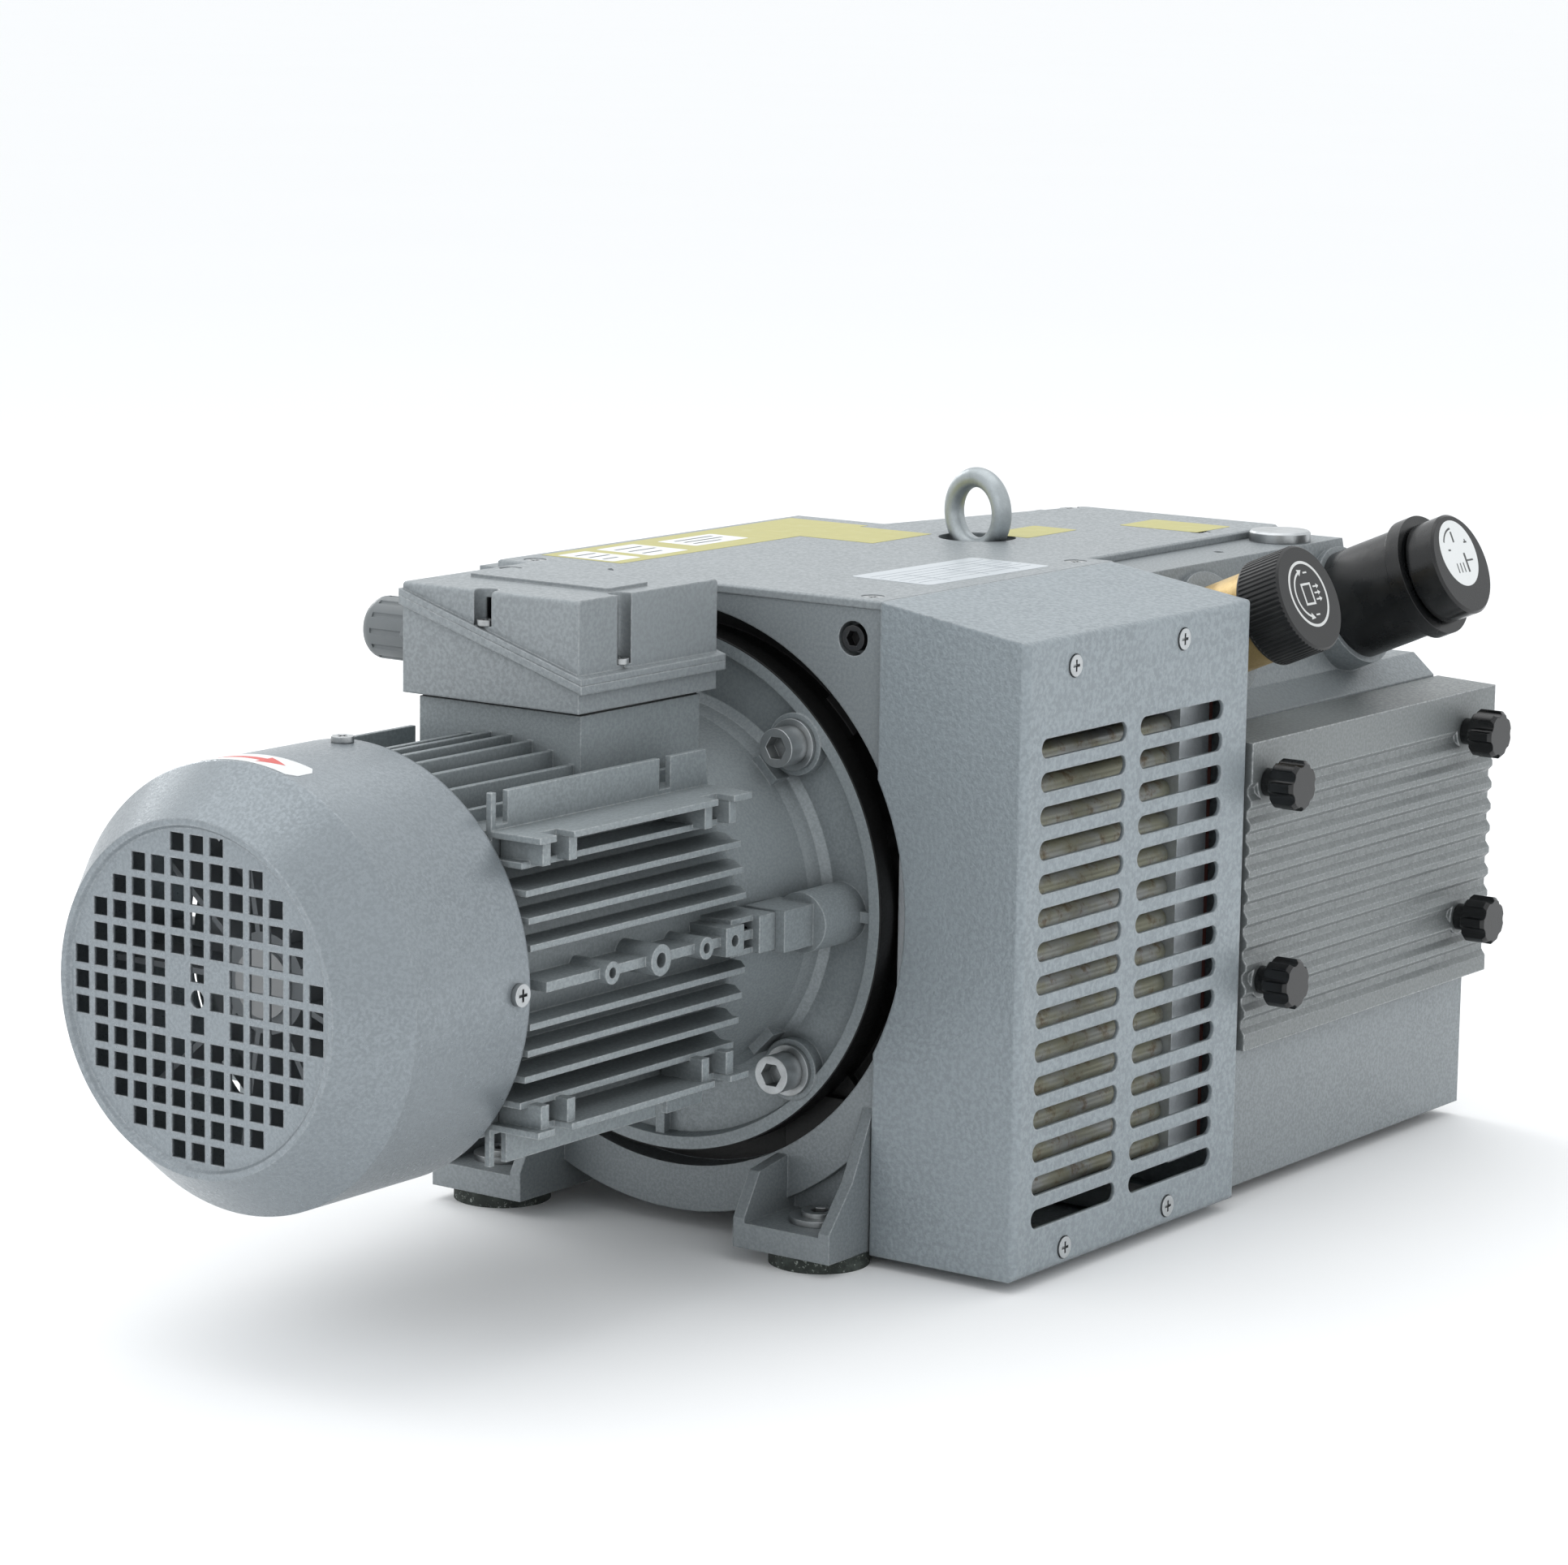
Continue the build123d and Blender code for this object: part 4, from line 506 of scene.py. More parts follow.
@dataclass(frozen=True)
class SpeckledRubber(Finish):
    """Dark rubber with pale and green flecks of paint and dust."""

    name: str
    base: Colour
    fleck: Colour = (0.42, 0.46, 0.42)
    size: float = 2.4

    def make(self) -> bpy.types.Material:
        """Build the rubber.

        Returns:
            The new material.
        """
        graph = Graph(self.name)
        normal, edge = graph.soft_edges(0.8)
        speck = graph.between(graph.noise(self.size, 3.0, 0.75), 0.57, 0.66)
        dusty = graph.between(graph.noise(9.0, 4.0, 0.65), 0.40, 0.70, 0.0, 0.45)
        colour = graph.blend(dusty, self.base, (0.11, 0.13, 0.115))
        colour = graph.blend(graph.maths("MULTIPLY", speck, 0.6), colour, self.fleck)
        graph.put(graph.shader.inputs["Base Color"], colour)
        graph.shader.inputs["Roughness"].default_value = 0.78
        graph.put(graph.shader.inputs["Normal"], graph.relief(graph.noise(1.1, 3.0, 0.6), 0.15, 0.8, normal))
        return graph.material


@dataclass(frozen=True)
class Banded(Finish):
    """Stacked or wound material: thin parallel bands, such as steel sheets, wire or folded paper."""

    name: str
    low: Colour
    high: Colour
    pitch: float
    direction: str
    depth: float = 0.3
    roughness: float = 0.5
    metallic: float = 0.0
    wander: float = 0.4

    def make(self) -> bpy.types.Material:
        """Build the banded material.

        Returns:
            The new material.
        """
        graph = Graph(self.name)
        bands = graph.wave(self.pitch, self.direction, self.wander)
        colour = graph.blend(graph.between(bands, 0.1, 0.8), self.low, self.high)
        colour = graph.blend(graph.between(graph.noise(14.0, 3.0, 0.6), 0.4, 0.7, 0.0, 0.3), colour, self.low)
        graph.put(graph.shader.inputs["Base Color"], colour)
        graph.shader.inputs["Metallic"].default_value = self.metallic
        graph.shader.inputs["Roughness"].default_value = self.roughness
        graph.put(graph.shader.inputs["Normal"], graph.relief(bands, self.depth, 0.8))
        return graph.material


@dataclass(frozen=True)
class Printed(Finish):
    """Printed film or ink: an even colour with slight fading, smudges and a soft sheen."""

    name: str
    base: Colour
    faded: float = 0.18
    roughness: float = 0.38
    metallic: float = 0.0

    def make(self) -> bpy.types.Material:
        """Build the print.

        Returns:
            The new material.
        """
        graph = Graph(self.name)
        cloud = graph.noise(11.0, 4.0, 0.65)
        fine = graph.noise(0.8, 2.0, 0.6)
        colour = graph.blend(graph.between(cloud, 0.42, 0.72, 0.0, self.faded), self.base,
                             tuple(0.6 * c + 0.25 for c in self.base))
        colour = graph.blend(graph.between(fine, 0.35, 0.75, 0.0, 0.10), colour, shade(self.base, 0.8))
        graph.put(graph.shader.inputs["Base Color"], colour)
        graph.shader.inputs["Metallic"].default_value = self.metallic
        graph.put(graph.shader.inputs["Roughness"],
                  graph.between(cloud, 0.3, 0.7, self.roughness, self.roughness + 0.15))
        graph.put(graph.shader.inputs["Normal"], graph.relief(fine, 0.02, 0.5))
        return graph.material


@dataclass(frozen=True)
class StainedTube(Finish):
    """Cooler tube: bare aluminium with brown and olive stains from hot oil."""

    name: str
    base: Colour = (0.36, 0.37, 0.36)
    brown: Colour = (0.17, 0.12, 0.07)
    olive: Colour = (0.29, 0.285, 0.19)

    def make(self) -> bpy.types.Material:
        """Build the tube's finish.

        Returns:
            The new material.
        """
        graph = Graph(self.name)
        long_noise = graph.noise(26.0, 4.0, 0.6, graph.stretched((1.0, 1.0, 2.0)))
        colour = graph.blend(graph.between(long_noise, 0.35, 0.6, 0.0, 0.8), self.base, self.olive)
        spots = graph.between(graph.noise(9.0, 5.0, 0.7), 0.50, 0.68, 0.0, 0.85)
        colour = graph.blend(spots, colour, self.brown)
        graph.put(graph.shader.inputs["Base Color"], colour)
        graph.shader.inputs["Metallic"].default_value = 0.6
        graph.shader.inputs["Roughness"].default_value = 0.42
        graph.put(graph.shader.inputs["Normal"], graph.relief(graph.noise(2.0, 4.0, 0.6), 0.15, 0.7))
        return graph.material


# ---------------------------------------------------------------- finishes of this pump
SILVER: Colour = (0.232, 0.256, 0.268)

CAST_PAINT = HammerPaint("cast_hammer_paint", SILVER, cast=0.16)
# the fan housing's paint carries painted black shade on its inner surfaces round the shaft
RING_PAINT = HammerPaint("ring_hammer_paint", SILVER, cast=0.16, gap_shade=(0.0, 133.8, -155.5))
MOTOR_PAINT = HammerPaint("motor_hammer_paint", (0.262, 0.292, 0.304), depth=0.09, cast=0.12, corner_shade=0.50,
                          edge_wear_and_highlight=0.60)
SHEET_PAINT = HammerPaint("hood_hammer_paint", (0.262, 0.298, 0.320), pit=2.3, depth=0.26, edge=1.4,
                          edge_wear_and_highlight=0.40)
LID_PAINT = HammerPaint("lid_hammer_paint", (0.272, 0.297, 0.310), pit=1.8, depth=0.09, edge=1.2, edge_wear_and_highlight=0.40)
COVER_PAINT = HammerPaint("fan_cover_paint", (0.240, 0.268, 0.288), depth=0.06, edge=1.6, metallic=0.50,
                          roughness=0.33)
# the flange's paint carries painted black shade on its rim side, next to the fan housing
FLANGE_PAINT = HammerPaint("flange_hammer_paint", (0.240, 0.268, 0.280), pit=1.2, depth=0.08,
                           cast=0.22, corner_shade=0.6, gap_shade=(124.3, 134.0, -300.0))
FILTER_PAINT = HammerPaint("filter_hammer_paint", (0.190, 0.206, 0.208), depth=0.09, cast=0.10, edge=1.5,
                           edge_wear_and_highlight=0.95)
ZINC = Metal("zinc_plating", (0.52, 0.54, 0.55), (0.36, 0.37, 0.36))
EYE_ZINC = Metal("dull_zinc", (0.40, 0.435, 0.45), (0.30, 0.33, 0.34), roughness=0.42, metallic=0.8,
                 depth=0.12)
MACHINED = Metal("machined_steel", (0.50, 0.51, 0.52), (0.40, 0.40, 0.40), roughness=0.28)
RAW_ALUMINIUM = Metal("cooler_cast_aluminium", (0.62, 0.66, 0.69), (0.46, 0.49, 0.51), roughness=0.45,
                      metallic=0.7, grain=1.6, depth=0.25)
FAN_ALUMINIUM = Metal("fan_cast_aluminium", (0.55, 0.57, 0.58), (0.40, 0.41, 0.42), roughness=0.42)
BLACK_OXIDE = Metal("black_oxide", (0.05, 0.052, 0.055), (0.09, 0.08, 0.07), roughness=0.40, metallic=0.7)
BRASS = Metal("sand_cast_brass", (0.62, 0.46, 0.22), (0.33, 0.22, 0.10), roughness=0.44, metallic=0.85,
              grain=1.1, spread=9.0, depth=0.20)
BLACK_GRAINED = Plastic("black_grained_plastic", (0.006, 0.0065, 0.007), roughness=0.36, rubbed=0.06,
                        dust=0.03)
BLACK_MATT = Plastic("black_smooth_plastic", (0.004, 0.0045, 0.005), grain=1.4, depth=0.03, roughness=0.26,
                     rubbed=0.05, dust=0.02)
BLACK_GLOSS = Plastic("black_gloss_plastic", (0.003, 0.0035, 0.004), depth=0.02, roughness=0.20, rubbed=0.08,
                      dust=0.02)
FAN_PLASTIC = Plastic("fan_plastic", (0.20, 0.23, 0.25), roughness=0.5)
GLAND_PLASTIC = Plastic("gland_plastic", (0.15, 0.165, 0.172), roughness=0.42, rubbed=0.1)
GASKET = Plastic("black_gasket", (0.02, 0.021, 0.021), roughness=0.7)
RUBBER = SpeckledRubber("foot_rubber", (0.020, 0.026, 0.022))
COUPLING_RUBBER = Plastic("coupling_rubber_black", (0.03, 0.022, 0.015), roughness=0.65)
TUBE = StainedTube("cooler_tube_metal")
LAMINATED = Banded("laminated_steel", (0.12, 0.12, 0.13), (0.34, 0.34, 0.35), 1.6, "X", metallic=0.8)
WOUND_COPPER = Banded("wound_copper", (0.30, 0.10, 0.04), (0.72, 0.34, 0.16), 2.4, "Z", metallic=0.8,
                      roughness=0.35)
FOLDED_PAPER = Banded("folded_paper", (0.52, 0.48, 0.36), (0.80, 0.77, 0.66), 4.0, "X", depth=1.2,
                      roughness=0.85)
CARBON = Metal("pressed_carbon", (0.05, 0.05, 0.055), (0.03, 0.03, 0.03), roughness=0.5, metallic=0.2)
YELLOW_FILM = Printed("yellow_film", (0.44, 0.41, 0.125), faded=0.30)
WHITE_FILM = Printed("white_film", (0.74, 0.76, 0.76), faded=0.1)
DARK_INK = Printed("dark_ink", (0.05, 0.055, 0.055), faded=0.3)
RED_INK = Printed("red_ink", (0.62, 0.075, 0.06))
SILVER_FILM = Printed("silver_film", (0.56, 0.60, 0.63), metallic=0.5, roughness=0.30)
GREY_INK = Printed("grey_ink", (0.30, 0.33, 0.36))
WHITE_INK = Printed("white_ink", (0.62, 0.63, 0.62))
RED_GASKET = Plastic("red_gasket", (0.15, 0.045, 0.035), roughness=0.7)

SLOT_FINISH: dict[str, Finish] = {
    "motor_paint": MOTOR_PAINT, "cover_paint": COVER_PAINT, "casting_paint": CAST_PAINT,
    "sheet_paint": SHEET_PAINT, "zinc_steel": ZINC, "machined_steel": MACHINED, "laminations": LAMINATED,
    "copper": WOUND_COPPER, "brass": BRASS, "black_plastic": BLACK_MATT, "gloss_black": BLACK_GLOSS,
    "fan_plastic": FAN_PLASTIC, "gland_grey": GLAND_PLASTIC, "rubber": RUBBER,
    "coupling_rubber": COUPLING_RUBBER, "cooler_aluminium": RAW_ALUMINIUM, "cooler_tube": TUBE,
    "carbon": CARBON, "filter_media": FOLDED_PAPER,
}
NODE_FINISH: dict[str, Finish] = {
    "fan_housing": RING_PAINT, "casting_screws": BLACK_OXIDE, "filter_cover": FILTER_PAINT,
    "lid": LID_PAINT, "terminal_box_lid": LID_PAINT, "terminal_box_body": LID_PAINT,
    "motor_flange": FLANGE_PAINT, "lifting_eye": EYE_ZINC,
    "terminal_box_gasket": GASKET, "shaft_seals": GASKET, "pressure_valve_knob": BLACK_GRAINED,
    "cooling_fan": FAN_ALUMINIUM,
}


# ---------------------------------------------------------------- thin pieces
def rounded_box(width: float, height: float, corner: float, steps: int = 5) -> list[Point2]:
    """Outline of a rectangle with round corners, centred on the origin.

    Args:
        width: Size along the first axis.
        height: Size along the second axis.
        corner: Corner radius.
        steps: Points on each corner.

    Returns:
        The outline's points, anticlockwise.
    """
    outline = []
    for quarter, (sx, sy) in enumerate(((1, 1), (-1, 1), (-1, -1), (1, -1))):
        for step in range(steps + 1):
            angle = (quarter + step / steps) * math.pi / 2
            outline.append((sx * (width / 2 - corner) + corner * math.cos(angle),
                            sy * (height / 2 - corner) + corner * math.sin(angle)))
    return outline


def band(inner: float, outer: float, start: float, end: float, steps: int) -> list[list[Point2]]:
    """Four-sided pieces of a flat ring or arc.

    Args:
        inner: Inner radius.
        outer: Outer radius.
        start: First angle, in degrees.
        end: Last angle, in degrees.
        steps: Number of pieces.

    Returns:
        One polygon for each piece.
    """
    angles = [math.radians(start + (end - start) * i / steps) for i in range(steps + 1)]
    return [[(inner * math.cos(a), inner * math.sin(a)), (outer * math.cos(a), outer * math.sin(a)),
             (outer * math.cos(b), outer * math.sin(b)), (inner * math.cos(b), inner * math.sin(b))]
            for a, b in zip(angles, angles[1:])]


def moved(polygon: Iterable[Point2], across: float, up: float, turn: float = 0.0) -> list[Point2]:
    """A polygon turned about the origin and then shifted.

    Args:
        polygon: The polygon's points.
        across: Shift along the first axis.
        up: Shift along the second axis.
        turn: Turn in degrees.

    Returns:
        The moved points.
    """
    c, s = math.cos(math.radians(turn)), math.sin(math.radians(turn))
    return [(x * c - y * s + across, x * s + y * c + up) for x, y in polygon]


def bar(length: float, width: float) -> list[Point2]:
    """A plain bar along the first axis, centred on the origin."""
    out, up = length / 2, width / 2
    return [(-out, -up), (out, -up), (out, up), (-out, up)]


def arrow_head(length: float, width: float) -> list[Point2]:
    """A triangle that points along the first axis from the origin."""
    return [(0.0, -width / 2), (length, 0.0), (0.0, width / 2)]


@dataclass
class ThinPiece:
    """A flat or wrapped closed piece built from polygons of one thickness."""

    name: str
    polygons: list[list[Point2]]
    thickness: float
    finish: Finish
    slot: Slot
    body: Body

    def build(self, place: Callable[[float, float, float], Vector]) -> bpy.types.Object:
        """Build the piece.

        Args:
            place: Turns a polygon's point and a height into a point of the frame, in metres.

        Returns:
            The new object.
        """
        keys: dict[tuple[float, float], int] = {}
        points: list[Point2] = []
        faces: list[list[int]] = []
        for polygon in self.polygons:
            face = []
            for x, y in polygon:
                key = (round(x, 4), round(y, 4))
                if key not in keys:
                    keys[key] = len(points)
                    points.append((x, y))
                face.append(keys[key])
            faces.append(face)
        edges: dict[tuple[int, int], int] = {}
        for face in faces:
            for a, b in zip(face, face[1:] + face[:1]):
                edges[(a, b)] = edges.get((a, b), 0) + 1
        count = len(points)
        closed = [list(reversed(face)) for face in faces]
        closed += [[i + count for i in face] for face in faces]
        closed += [[a, b, b + count, a + count] for a, b in edges if (b, a) not in edges]
        low = [place(x, y, 0.0) for x, y in points]
        high = [place(x, y, self.thickness) for x, y in points]
        mesh = bpy.data.meshes.new(self.name)
        mesh.from_pydata(low + high, [], closed)
        mesh.validate()
        mesh.update()
        piece = bpy.data.objects.new(self.name, mesh)
        bpy.context.scene.collection.objects.link(piece)
        piece.data.materials.append(self.finish.material())
        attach(piece, self.body.value)
        LOG.info("piece %s on %s", self.name, self.body.value)
        return piece


def on_plane(origin: Vector, across: Vector, up: Vector) -> Callable[[float, float, float], Vector]:
    """Place points on a plane.

    Args:
        origin: The plane's origin, in millimetres.
        across: Its first axis.
        up: Its second axis.

    Returns:
        A function from two distances and a height, in millimetres, to a point in metres.
    """
    out = across.cross(up)

    def place(x: float, y: float, height: float) -> Vector:
        """Return the point in metres."""
        return (origin + across * x + up * y + out * height) * MM

    return place


@dataclass
class LidPrints:
    """Rating plate and yellow film on the lid, all without lettering."""

    film: float = 0.12
    ink: float = 0.05
    plate_centre: Point2 = (-47.0, -81.0)
    plate_size: Point2 = (98.0, 46.0)
    plate_turn: float = -2.0
    strip_outline: tuple[Point2, ...] = ((-130.0, 52.0), (16.0, 52.0), (16.0, 8.0), (68.0, 8.0), (68.0, 52.0),
                                         (75.0, 52.0), (75.0, 100.0), (-130.0, 100.0))
    strip_panels: tuple[tuple[Point2, Point2], ...] = (
        ((-116.0, 76.0), (22.0, 34.0)), ((-82.0, 76.0), (30.0, 34.0)), ((-30.0, 78.0), (44.0, 24.0)))
    patches: tuple[tuple[str, Point2, Point2], ...] = (
        ("yellow_patch_eye", (110.0, -24.0), (46.0, 26.0)),
        ("yellow_patch_end", (182.0, -65.0), (34.0, 46.0)))

    def placed(self, centre: Point2, turn: float, height: float) -> Callable[[float, float, float], Vector]:
        """A place on the lid.

        Args:
            centre: Middle of the print, in millimetres.
            turn: Turn in degrees.
            height: Height above the lid's face, in millimetres.

        Returns:
            The placing function.
        """
        angle = math.radians(turn)
        across = Vector((math.cos(angle), math.sin(angle), 0))
        up = Vector((-math.sin(angle), math.cos(angle), 0))
        return on_plane(Vector((*centre, LID_TOP + height)), across, up)

    def rating_plate(self) -> None:
        """Build the silver plate with its empty ruled fields."""
        width, height = self.plate_size
        place = self.placed(self.plate_centre, self.plate_turn, 0.0)
        ThinPiece("rating_plate", [rounded_box(width, height, 3.0)], self.film, SILVER_FILM, Slot.SHEET_PAINT,
                  Body.ROOT).build(place)
        rules = []
        for row in range(6):
            y = height / 2 - 9.0 - row * 5.6
            rules.append(moved(bar(width - 8.0, 0.5), 0.0, y))
        for x in (-width / 2 + 22.0, 4.0, width / 2 - 20.0):
            rules.append(moved(bar(28.0, 0.5), x, -4.0 - 0.9, 90.0))
        above = self.placed(self.plate_centre, self.plate_turn, self.film)
        for number, rule in enumerate(rules, 1):
            ThinPiece(f"rating_plate_rule_{number}", [rule], self.ink, GREY_INK, Slot.SHEET_PAINT,
                      Body.ROOT).build(above)

    def yellow_strip(self) -> None:
        """Build the long yellow strip with its white panels and dark frames."""
        place = self.placed((0.0, 0.0), 0.0, 0.0)
        ThinPiece("yellow_strip", [list(self.strip_outline)], self.film, YELLOW_FILM, Slot.SHEET_PAINT,
                  Body.ROOT).build(place)
        above = self.placed((0.0, 0.0), 0.0, self.film)
        for number, (centre, (width, height)) in enumerate(self.strip_panels, 1):
            panel = moved(rounded_box(width, height, 1.5), *centre)
            ThinPiece(f"yellow_strip_panel_{number}", [panel], self.ink, WHITE_FILM, Slot.SHEET_PAINT,
                      Body.ROOT).build(above)
            on_panel = self.placed(centre, 0.0, self.film + self.ink)
            marks = [moved(bar(width * 0.7, 1.6), 0.0, height * 0.25), moved(bar(width * 0.7, 1.6), 0.0, 0.0),
                     moved(bar(width * 0.5, 1.6), -width * 0.1, -height * 0.25)]
            for mark_number, mark in enumerate(marks, 1):
                ThinPiece(f"yellow_strip_mark_{number}_{mark_number}", [mark], self.ink, DARK_INK,
                          Slot.SHEET_PAINT, Body.ROOT).build(on_panel)

    def yellow_patches(self) -> None:
        """Build the two plain yellow patches near the lifting eye and the pump end."""
        for name, centre, size in self.patches:
            place = self.placed(centre, 0.0, 0.0)
            ThinPiece(name, [rounded_box(*size, 1.5)], self.film, YELLOW_FILM, Slot.SHEET_PAINT,
                      Body.ROOT).build(place)

    def build(self) -> None:
        """Build every print on the lid."""
        self.rating_plate()
        self.yellow_strip()
        self.yellow_patches()


@dataclass
class CoolerGasket:
    """Narrow red gasket beside the cooler's manifold, seen through the hood's slots."""

    width: float = 4.0
    low: float = 34.0
    high: float = 258.0
    front_y: float = -183.0

    def build(self) -> None:
        """Build the gasket against the manifold's side."""
        place = on_plane(Vector((MANIFOLD_END + self.width / 2, self.front_y, (self.low + self.high) / 2)),
                         Vector((1, 0, 0)), Vector((0, 0, 1)))
        outline = rounded_box(self.width, self.high - self.low, 0.6)
        ThinPiece("cooler_gasket", [outline], 1.5, RED_GASKET, Slot.RUBBER, Body.ROOT).build(place)


@dataclass
class TurningLabel:
    """White label with a red arrow, wrapped round the top of the fan cover."""

    middle_x: float = -446.5
    width: float = 17.0
    arc: tuple[float, float] = (16.0, -16.5)
    film: float = 0.15
    steps: int = 16

    def wrapped(self, height: float) -> Callable[[float, float, float], Vector]:
        """A place on the round cover.

        Args:
            height: Height above the cover, in millimetres.

        Returns:
            A function from arc length and distance along the shaft to a point in metres.
        """
        def place(x: float, y: float, rise: float) -> Vector:
            """Return the point in metres."""
            angle = x / COVER_R
            reach = COVER_R + height + rise
            return Vector((self.middle_x - y, -reach * math.sin(angle),
                           SHAFT_HEIGHT + reach * math.cos(angle))) * MM

        return place

    def strip(self, start: float, end: float, half: Callable[[float], float]) -> list[list[Point2]]:
        """A strip of varying width along the arc.

        Args:
            start: First arc length.
            end: Last arc length.
            half: Half width at a share from 0 to 1 of the way.

        Returns:
            The strip's four-sided pieces.
        """
        shares = [i / self.steps for i in range(self.steps + 1)]
        pieces = []
        for a, b in zip(shares, shares[1:]):
            xa, xb = start + (end - start) * a, start + (end - start) * b
            pieces.append([(xa, -half(a)), (xb, -half(b)), (xb, half(b)), (xa, half(a))])
        return pieces

    def build(self) -> None:
        """Build the film and the arrow."""
        first, last = (-math.radians(a) * COVER_R for a in self.arc)
        length = last - first
        corner = 4.0 / length

        def film_half(share: float) -> float:
            """Return half the film's width, with round corners."""
            near = min(share, 1.0 - share) / corner
            return self.width / 2 - (0.0 if near >= 1 else 4.0 * (1.0 - math.sqrt(1.0 - (1.0 - near) ** 2)))

        label = self.strip(first, last, film_half)
        ThinPiece("turning_label", label, self.film, WHITE_FILM, Slot.COVER_PAINT,
                  Body.ROOT).build(self.wrapped(0.0))
        tip = last - 0.20 * length
        neck = tip - 0.22 * length
        shaft = self.strip(first + 0.10 * length, neck, lambda share: 1.4 + 0.8 * share)
        ThinPiece("turning_arrow_shaft", shaft, 0.05, RED_INK, Slot.COVER_PAINT,
                  Body.ROOT).build(self.wrapped(self.film))
        ThinPiece("turning_arrow_head", self.strip(neck, tip, lambda share: 5.2 * (1.0 - share) + 0.05),
                  0.05, RED_INK, Slot.COVER_PAINT, Body.ROOT).build(self.wrapped(self.film))


@dataclass
class KnobMarks:
    """Generic setting marks on the faces of the two valve knobs."""

    film: float = 0.10
    vacuum_label_r: float = 17.2
    axis: Vector = field(default_factory=lambda: Vector(
        (0.0, -math.cos(math.radians(VALVE_TILT)), math.sin(math.radians(VALVE_TILT)))))

    def face(self, node: str, x: float, height: float) -> Callable[[float, float, float], Vector]:
        """A place on the end face of a valve knob.

        Args:
            node: The knob's CAD node.
            x: The valve's place along the shaft, in millimetres.
            height: Height above the face, in millimetres.

        Returns:
            The placing function.
        """
        low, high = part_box(node)
        middle = (low + high) / 2 / MM
        corners = FRAME["nodes"][node].data.vertices
        reach = max(v.co.dot(self.axis) for v in corners) / MM
        centre = Vector((x, middle.y, middle.z))
        origin = centre + self.axis * (reach - centre.dot(self.axis) + height)
        across = Vector((1, 0, 0))
        up = self.axis.cross(across)
        return on_plane(origin, across, up)

    def arrow(self, length: float, width: float, x: float, y: float, turn: float) -> list[list[Point2]]:
        """A small straight arrow.

        Args:
            length: Whole length.
            width: Width of its line.
            x: Middle, first axis.
            y: Middle, second axis.
            turn: Direction in degrees.

        Returns:
            Its polygons.
        """
        shaft = moved(bar(length * 0.6, width), -length * 0.2, 0.0)
        head = moved(arrow_head(length * 0.4, width * 3.2), length * 0.1, 0.0)
        return [moved(shaft, x, y, turn), moved(head, x, y, turn)]

    def pressure(self) -> None:
        """Build the white ring, turning arrow, square and three arrows of the pressure valve."""
        place = self.face("pressure_valve_knob", VALVE_X[0], 0.0)
        prints = {
            "ring": band(15.2, 16.6, 0, 360, 60),
            "turning_arc": band(11.0, 12.1, 110, 250, 26),
            "turning_tip_1": [moved(arrow_head(3.6, 3.6), 11.55 * math.cos(math.radians(110)),
                                    11.55 * math.sin(math.radians(110)), 20.0)],
            "turning_tip_2": [moved(arrow_head(3.6, 3.6), 11.55 * math.cos(math.radians(250)),
                                    11.55 * math.sin(math.radians(250)), -20.0)],
            "square_left": [moved(bar(11.0, 1.1), -4.4, 0.0, 90)],
            "square_right": [moved(bar(11.0, 1.1), 3.4, 0.0, 90)],
            "square_top": [moved(bar(6.7, 1.1), -0.5, 4.95)],
            "square_bottom": [moved(bar(6.7, 1.1), -0.5, -4.95)],
            "plus_across": [moved(bar(3.4, 0.8), 2.4, 10.6)],
            "minus": [moved(bar(3.4, 0.8), 2.4, -10.6)],
        }
        for number, y in enumerate((3.2, 0.0, -3.2), 1):
            shaft, head = self.arrow(5.4, 0.8, 8.2, y, 0.0)
            prints[f"arrow_{number}"] = [shaft]
            prints[f"arrow_tip_{number}"] = [head]
        for name, polygons in prints.items():
            ThinPiece(f"pressure_mark_{name}", polygons, self.film, WHITE_INK, Slot.BLACK_PLASTIC,
                      Body.PRESSURE_KNOB).build(place)

    def vacuum(self) -> None:
        """Build the white disc and the dark marks of the vacuum valve."""
        place = self.face("vacuum_valve_knob", VALVE_X[1], 0.0)
        angles = [math.radians(a) for a in range(0, 360, 6)]
        disc = [(self.vacuum_label_r * math.cos(a), self.vacuum_label_r * math.sin(a)) for a in angles]
        ThinPiece("vacuum_label", [disc], self.film, WHITE_FILM, Slot.BLACK_PLASTIC,
                  Body.VACUUM_KNOB).build(place)
        above = self.face("vacuum_valve_knob", VALVE_X[1], self.film)
        prints = {
            "arc": band(12.6, 13.6, 95, 150, 14),
            "pin": [moved(bar(5.6, 1.5), -1.6, 8.6, 90)],
            "plus_across": [moved(bar(3.0, 0.9), 9.6, 5.0)],
            "plus_up": [moved(bar(1.0, 0.9), 9.6, 6.0, 90)],
            "minus": [moved(bar(2.4, 0.9), -8.2, 2.2)],
            "post": [moved(bar(10.0, 1.7), 4.8, -5.4, 90)],
            "arm": [moved(bar(6.0, 0.9), 8.8, -4.4)],
        }
        for number, x in enumerate((-5.4, -2.2, 1.0), 1):
            prints[f"tick_{number}"] = [moved(bar(5.0, 0.9), x, -7.6, 90)]
        for name, polygons in prints.items():
            ThinPiece(f"vacuum_mark_{name}", polygons, 0.05, DARK_INK, Slot.BLACK_PLASTIC,
                      Body.VACUUM_KNOB).build(above)

    def build(self) -> None:
        """Build the marks of both knobs."""
        self.pressure()
        self.vacuum()


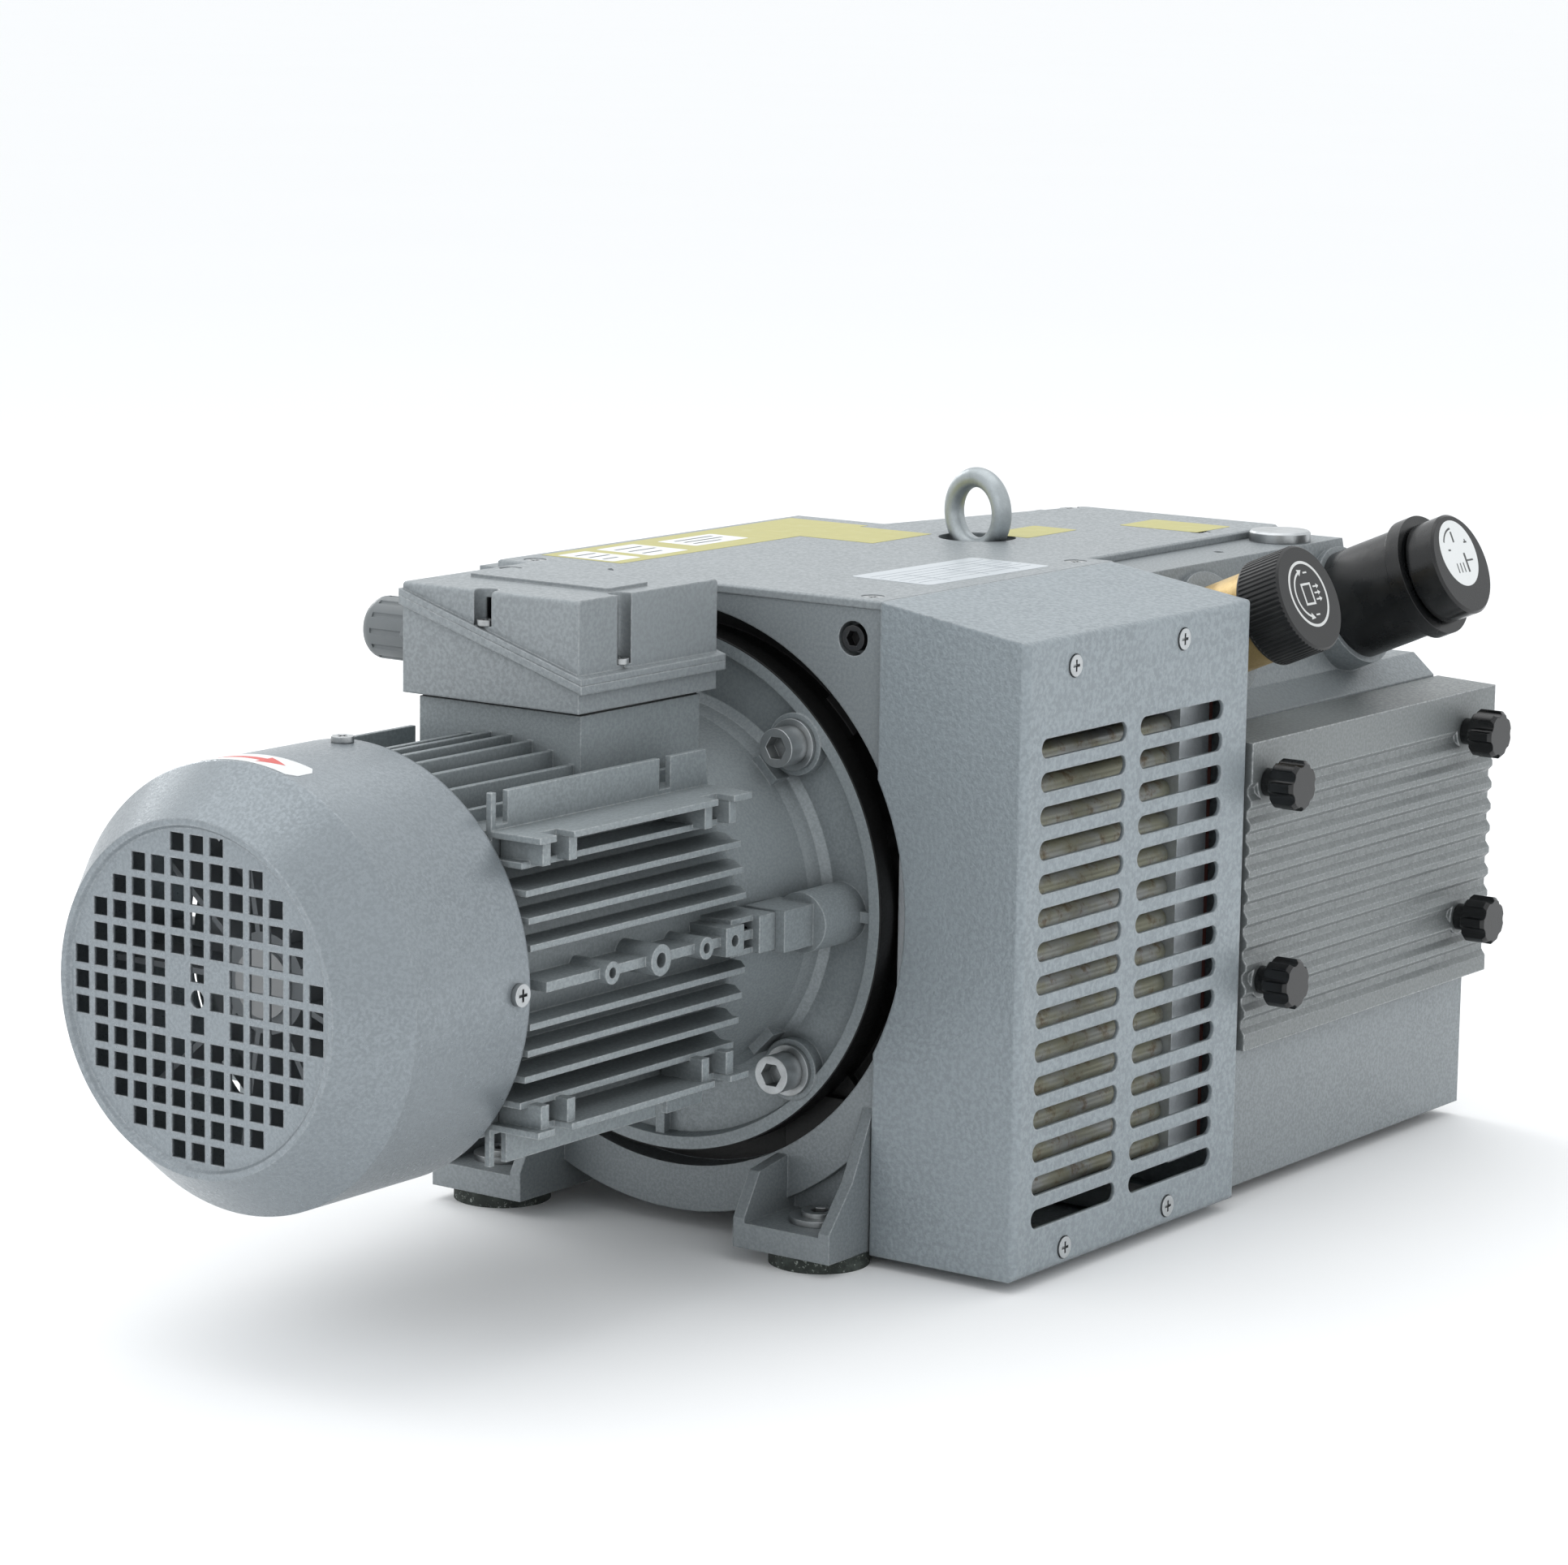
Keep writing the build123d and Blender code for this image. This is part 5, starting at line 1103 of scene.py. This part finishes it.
# ---------------------------------------------------------------- the pump's own nodes
class CadFinishes:
    """Gives every CAD node the finish of its slot, or its own."""

    def build(self) -> None:
        """Dress every node."""
        slots = {part["node"]: part["material_slot"] for part in FRAME["record"]["subparts"]}
        for node, piece in sorted(FRAME["nodes"].items()):
            finish = NODE_FINISH.get(node) or SLOT_FINISH[slots[node]]
            piece.data.materials.clear()
            piece.data.materials.append(finish.material())
            for polygon in piece.data.polygons:
                polygon.material_index = 0
            LOG.info("node %s in %s", node, finish.name)


# ---------------------------------------------------------------- studio
@dataclass
class Softbox:
    """A soft rectangular lamp that points at the pump."""

    name: str
    position: tuple[float, float, float]
    size: tuple[float, float]
    power: float
    colour: Colour = (1.0, 1.0, 1.0)
    target: tuple[float, float, float] = (-0.05, 0.0, 0.15)

    def build(self) -> None:
        """Build the lamp."""
        data = bpy.data.lights.new(self.name, "AREA")
        data.shape = "RECTANGLE"
        data.size, data.size_y = self.size
        data.energy = self.power
        data.color = self.colour
        lamp = bpy.data.objects.new(self.name, data)
        bpy.context.scene.collection.objects.link(lamp)
        lamp.location = self.position
        aim = Vector(self.target) - Vector(self.position)
        lamp.rotation_euler = aim.to_track_quat("-Z", "Y").to_euler()


@dataclass
class Studio:
    """Pale floor, soft lamps and the camera."""

    camera_place: tuple[float, float, float] = (-1.9515, -1.3515, 0.6013)
    azimuth: float = 35.65
    pitch: float = 9.8
    roll: float = 0.85
    lens: float = 112.06
    floor_half: float = 90.0
    floor_colours: tuple[Colour, Colour] = ((0.955, 0.957, 0.96), (0.97, 0.972, 0.975))
    sky_colour: Colour = (0.965, 0.985, 1.0)
    sky_strength: float = 1.03

    def floor(self) -> None:
        """Build the pale floor."""
        half = self.floor_half
        corners = [(-half, -half, 0.0), (half, -half, 0.0), (half, half, 0.0), (-half, half, 0.0)]
        mesh = bpy.data.meshes.new("studio_floor")
        mesh.from_pydata(corners, [], [(0, 1, 2, 3)])
        floor = bpy.data.objects.new("studio_floor", mesh)
        bpy.context.scene.collection.objects.link(floor)
        graph = Graph("studio_floor_paint")
        graph.put(graph.shader.inputs["Base Color"],
                  graph.blend(graph.noise(900.0, 2.0), *self.floor_colours))
        graph.shader.inputs["Roughness"].default_value = 0.9
        floor.data.materials.append(graph.material)

    def sky(self) -> None:
        """Set the even pale surroundings."""
        world = bpy.data.worlds.new("studio")
        world.use_nodes = True
        background = world.node_tree.nodes["Background"]
        background.inputs["Color"].default_value = (*self.sky_colour, 1.0)
        background.inputs["Strength"].default_value = self.sky_strength
        bpy.context.scene.world = world

    def camera(self) -> None:
        """Set up the camera."""
        azimuth, pitch, roll = (math.radians(a) for a in (self.azimuth, self.pitch, self.roll))
        level = math.cos(pitch)
        view = Vector((math.cos(azimuth) * level, math.sin(azimuth) * level, -math.sin(pitch)))
        right = view.cross(Vector((0, 0, 1))).normalized()
        up = right.cross(view)
        rolled_right = right * math.cos(roll) + up * math.sin(roll)
        rolled_up = up * math.cos(roll) - right * math.sin(roll)
        data = bpy.data.cameras.new("studio_camera")
        data.lens = self.lens
        data.sensor_width = 36.0
        data.clip_end = 400.0
        camera = bpy.data.objects.new("studio_camera", data)
        bpy.context.scene.collection.objects.link(camera)
        matrix = Matrix((rolled_right, rolled_up, -view)).transposed().to_4x4()
        matrix.translation = Vector(self.camera_place)
        camera.matrix_world = matrix
        bpy.context.scene.camera = camera

    def lamps(self) -> None:
        """Build the lamps."""
        for lamp in (
            Softbox("overhead_softbox", (0.2, 0.6, 2.6), (3.2, 2.6), 24.0),
            Softbox("fan_side_softbox", (-2.6, 0.2, 1.5), (1.8, 1.8), 8.0, (0.96, 0.98, 1.0)),
            Softbox("rim_softbox", (0.95, 2.4, 1.3), (0.8, 0.8), 14.0),
            Softbox("front_softbox", (0.9, -2.8, 1.3), (2.4, 1.6), 3.0, (1.0, 0.99, 0.97)),
        ):
            lamp.build()

    def build(self) -> None:
        """Build the whole studio."""
        self.floor()
        self.sky()
        self.camera()
        self.lamps()
        bpy.context.scene.view_settings.view_transform = "Standard"


def main() -> None:
    logging.basicConfig(level=logging.INFO, format="%(name)s: %(message)s")
    for builder in (Studio(), CadFinishes(), LidPrints(), CoolerGasket(), TurningLabel(), KnobMarks()):
        builder.build()
        LOG.info("built %s", type(builder).__name__)


if __name__ == "__main__":
    main()
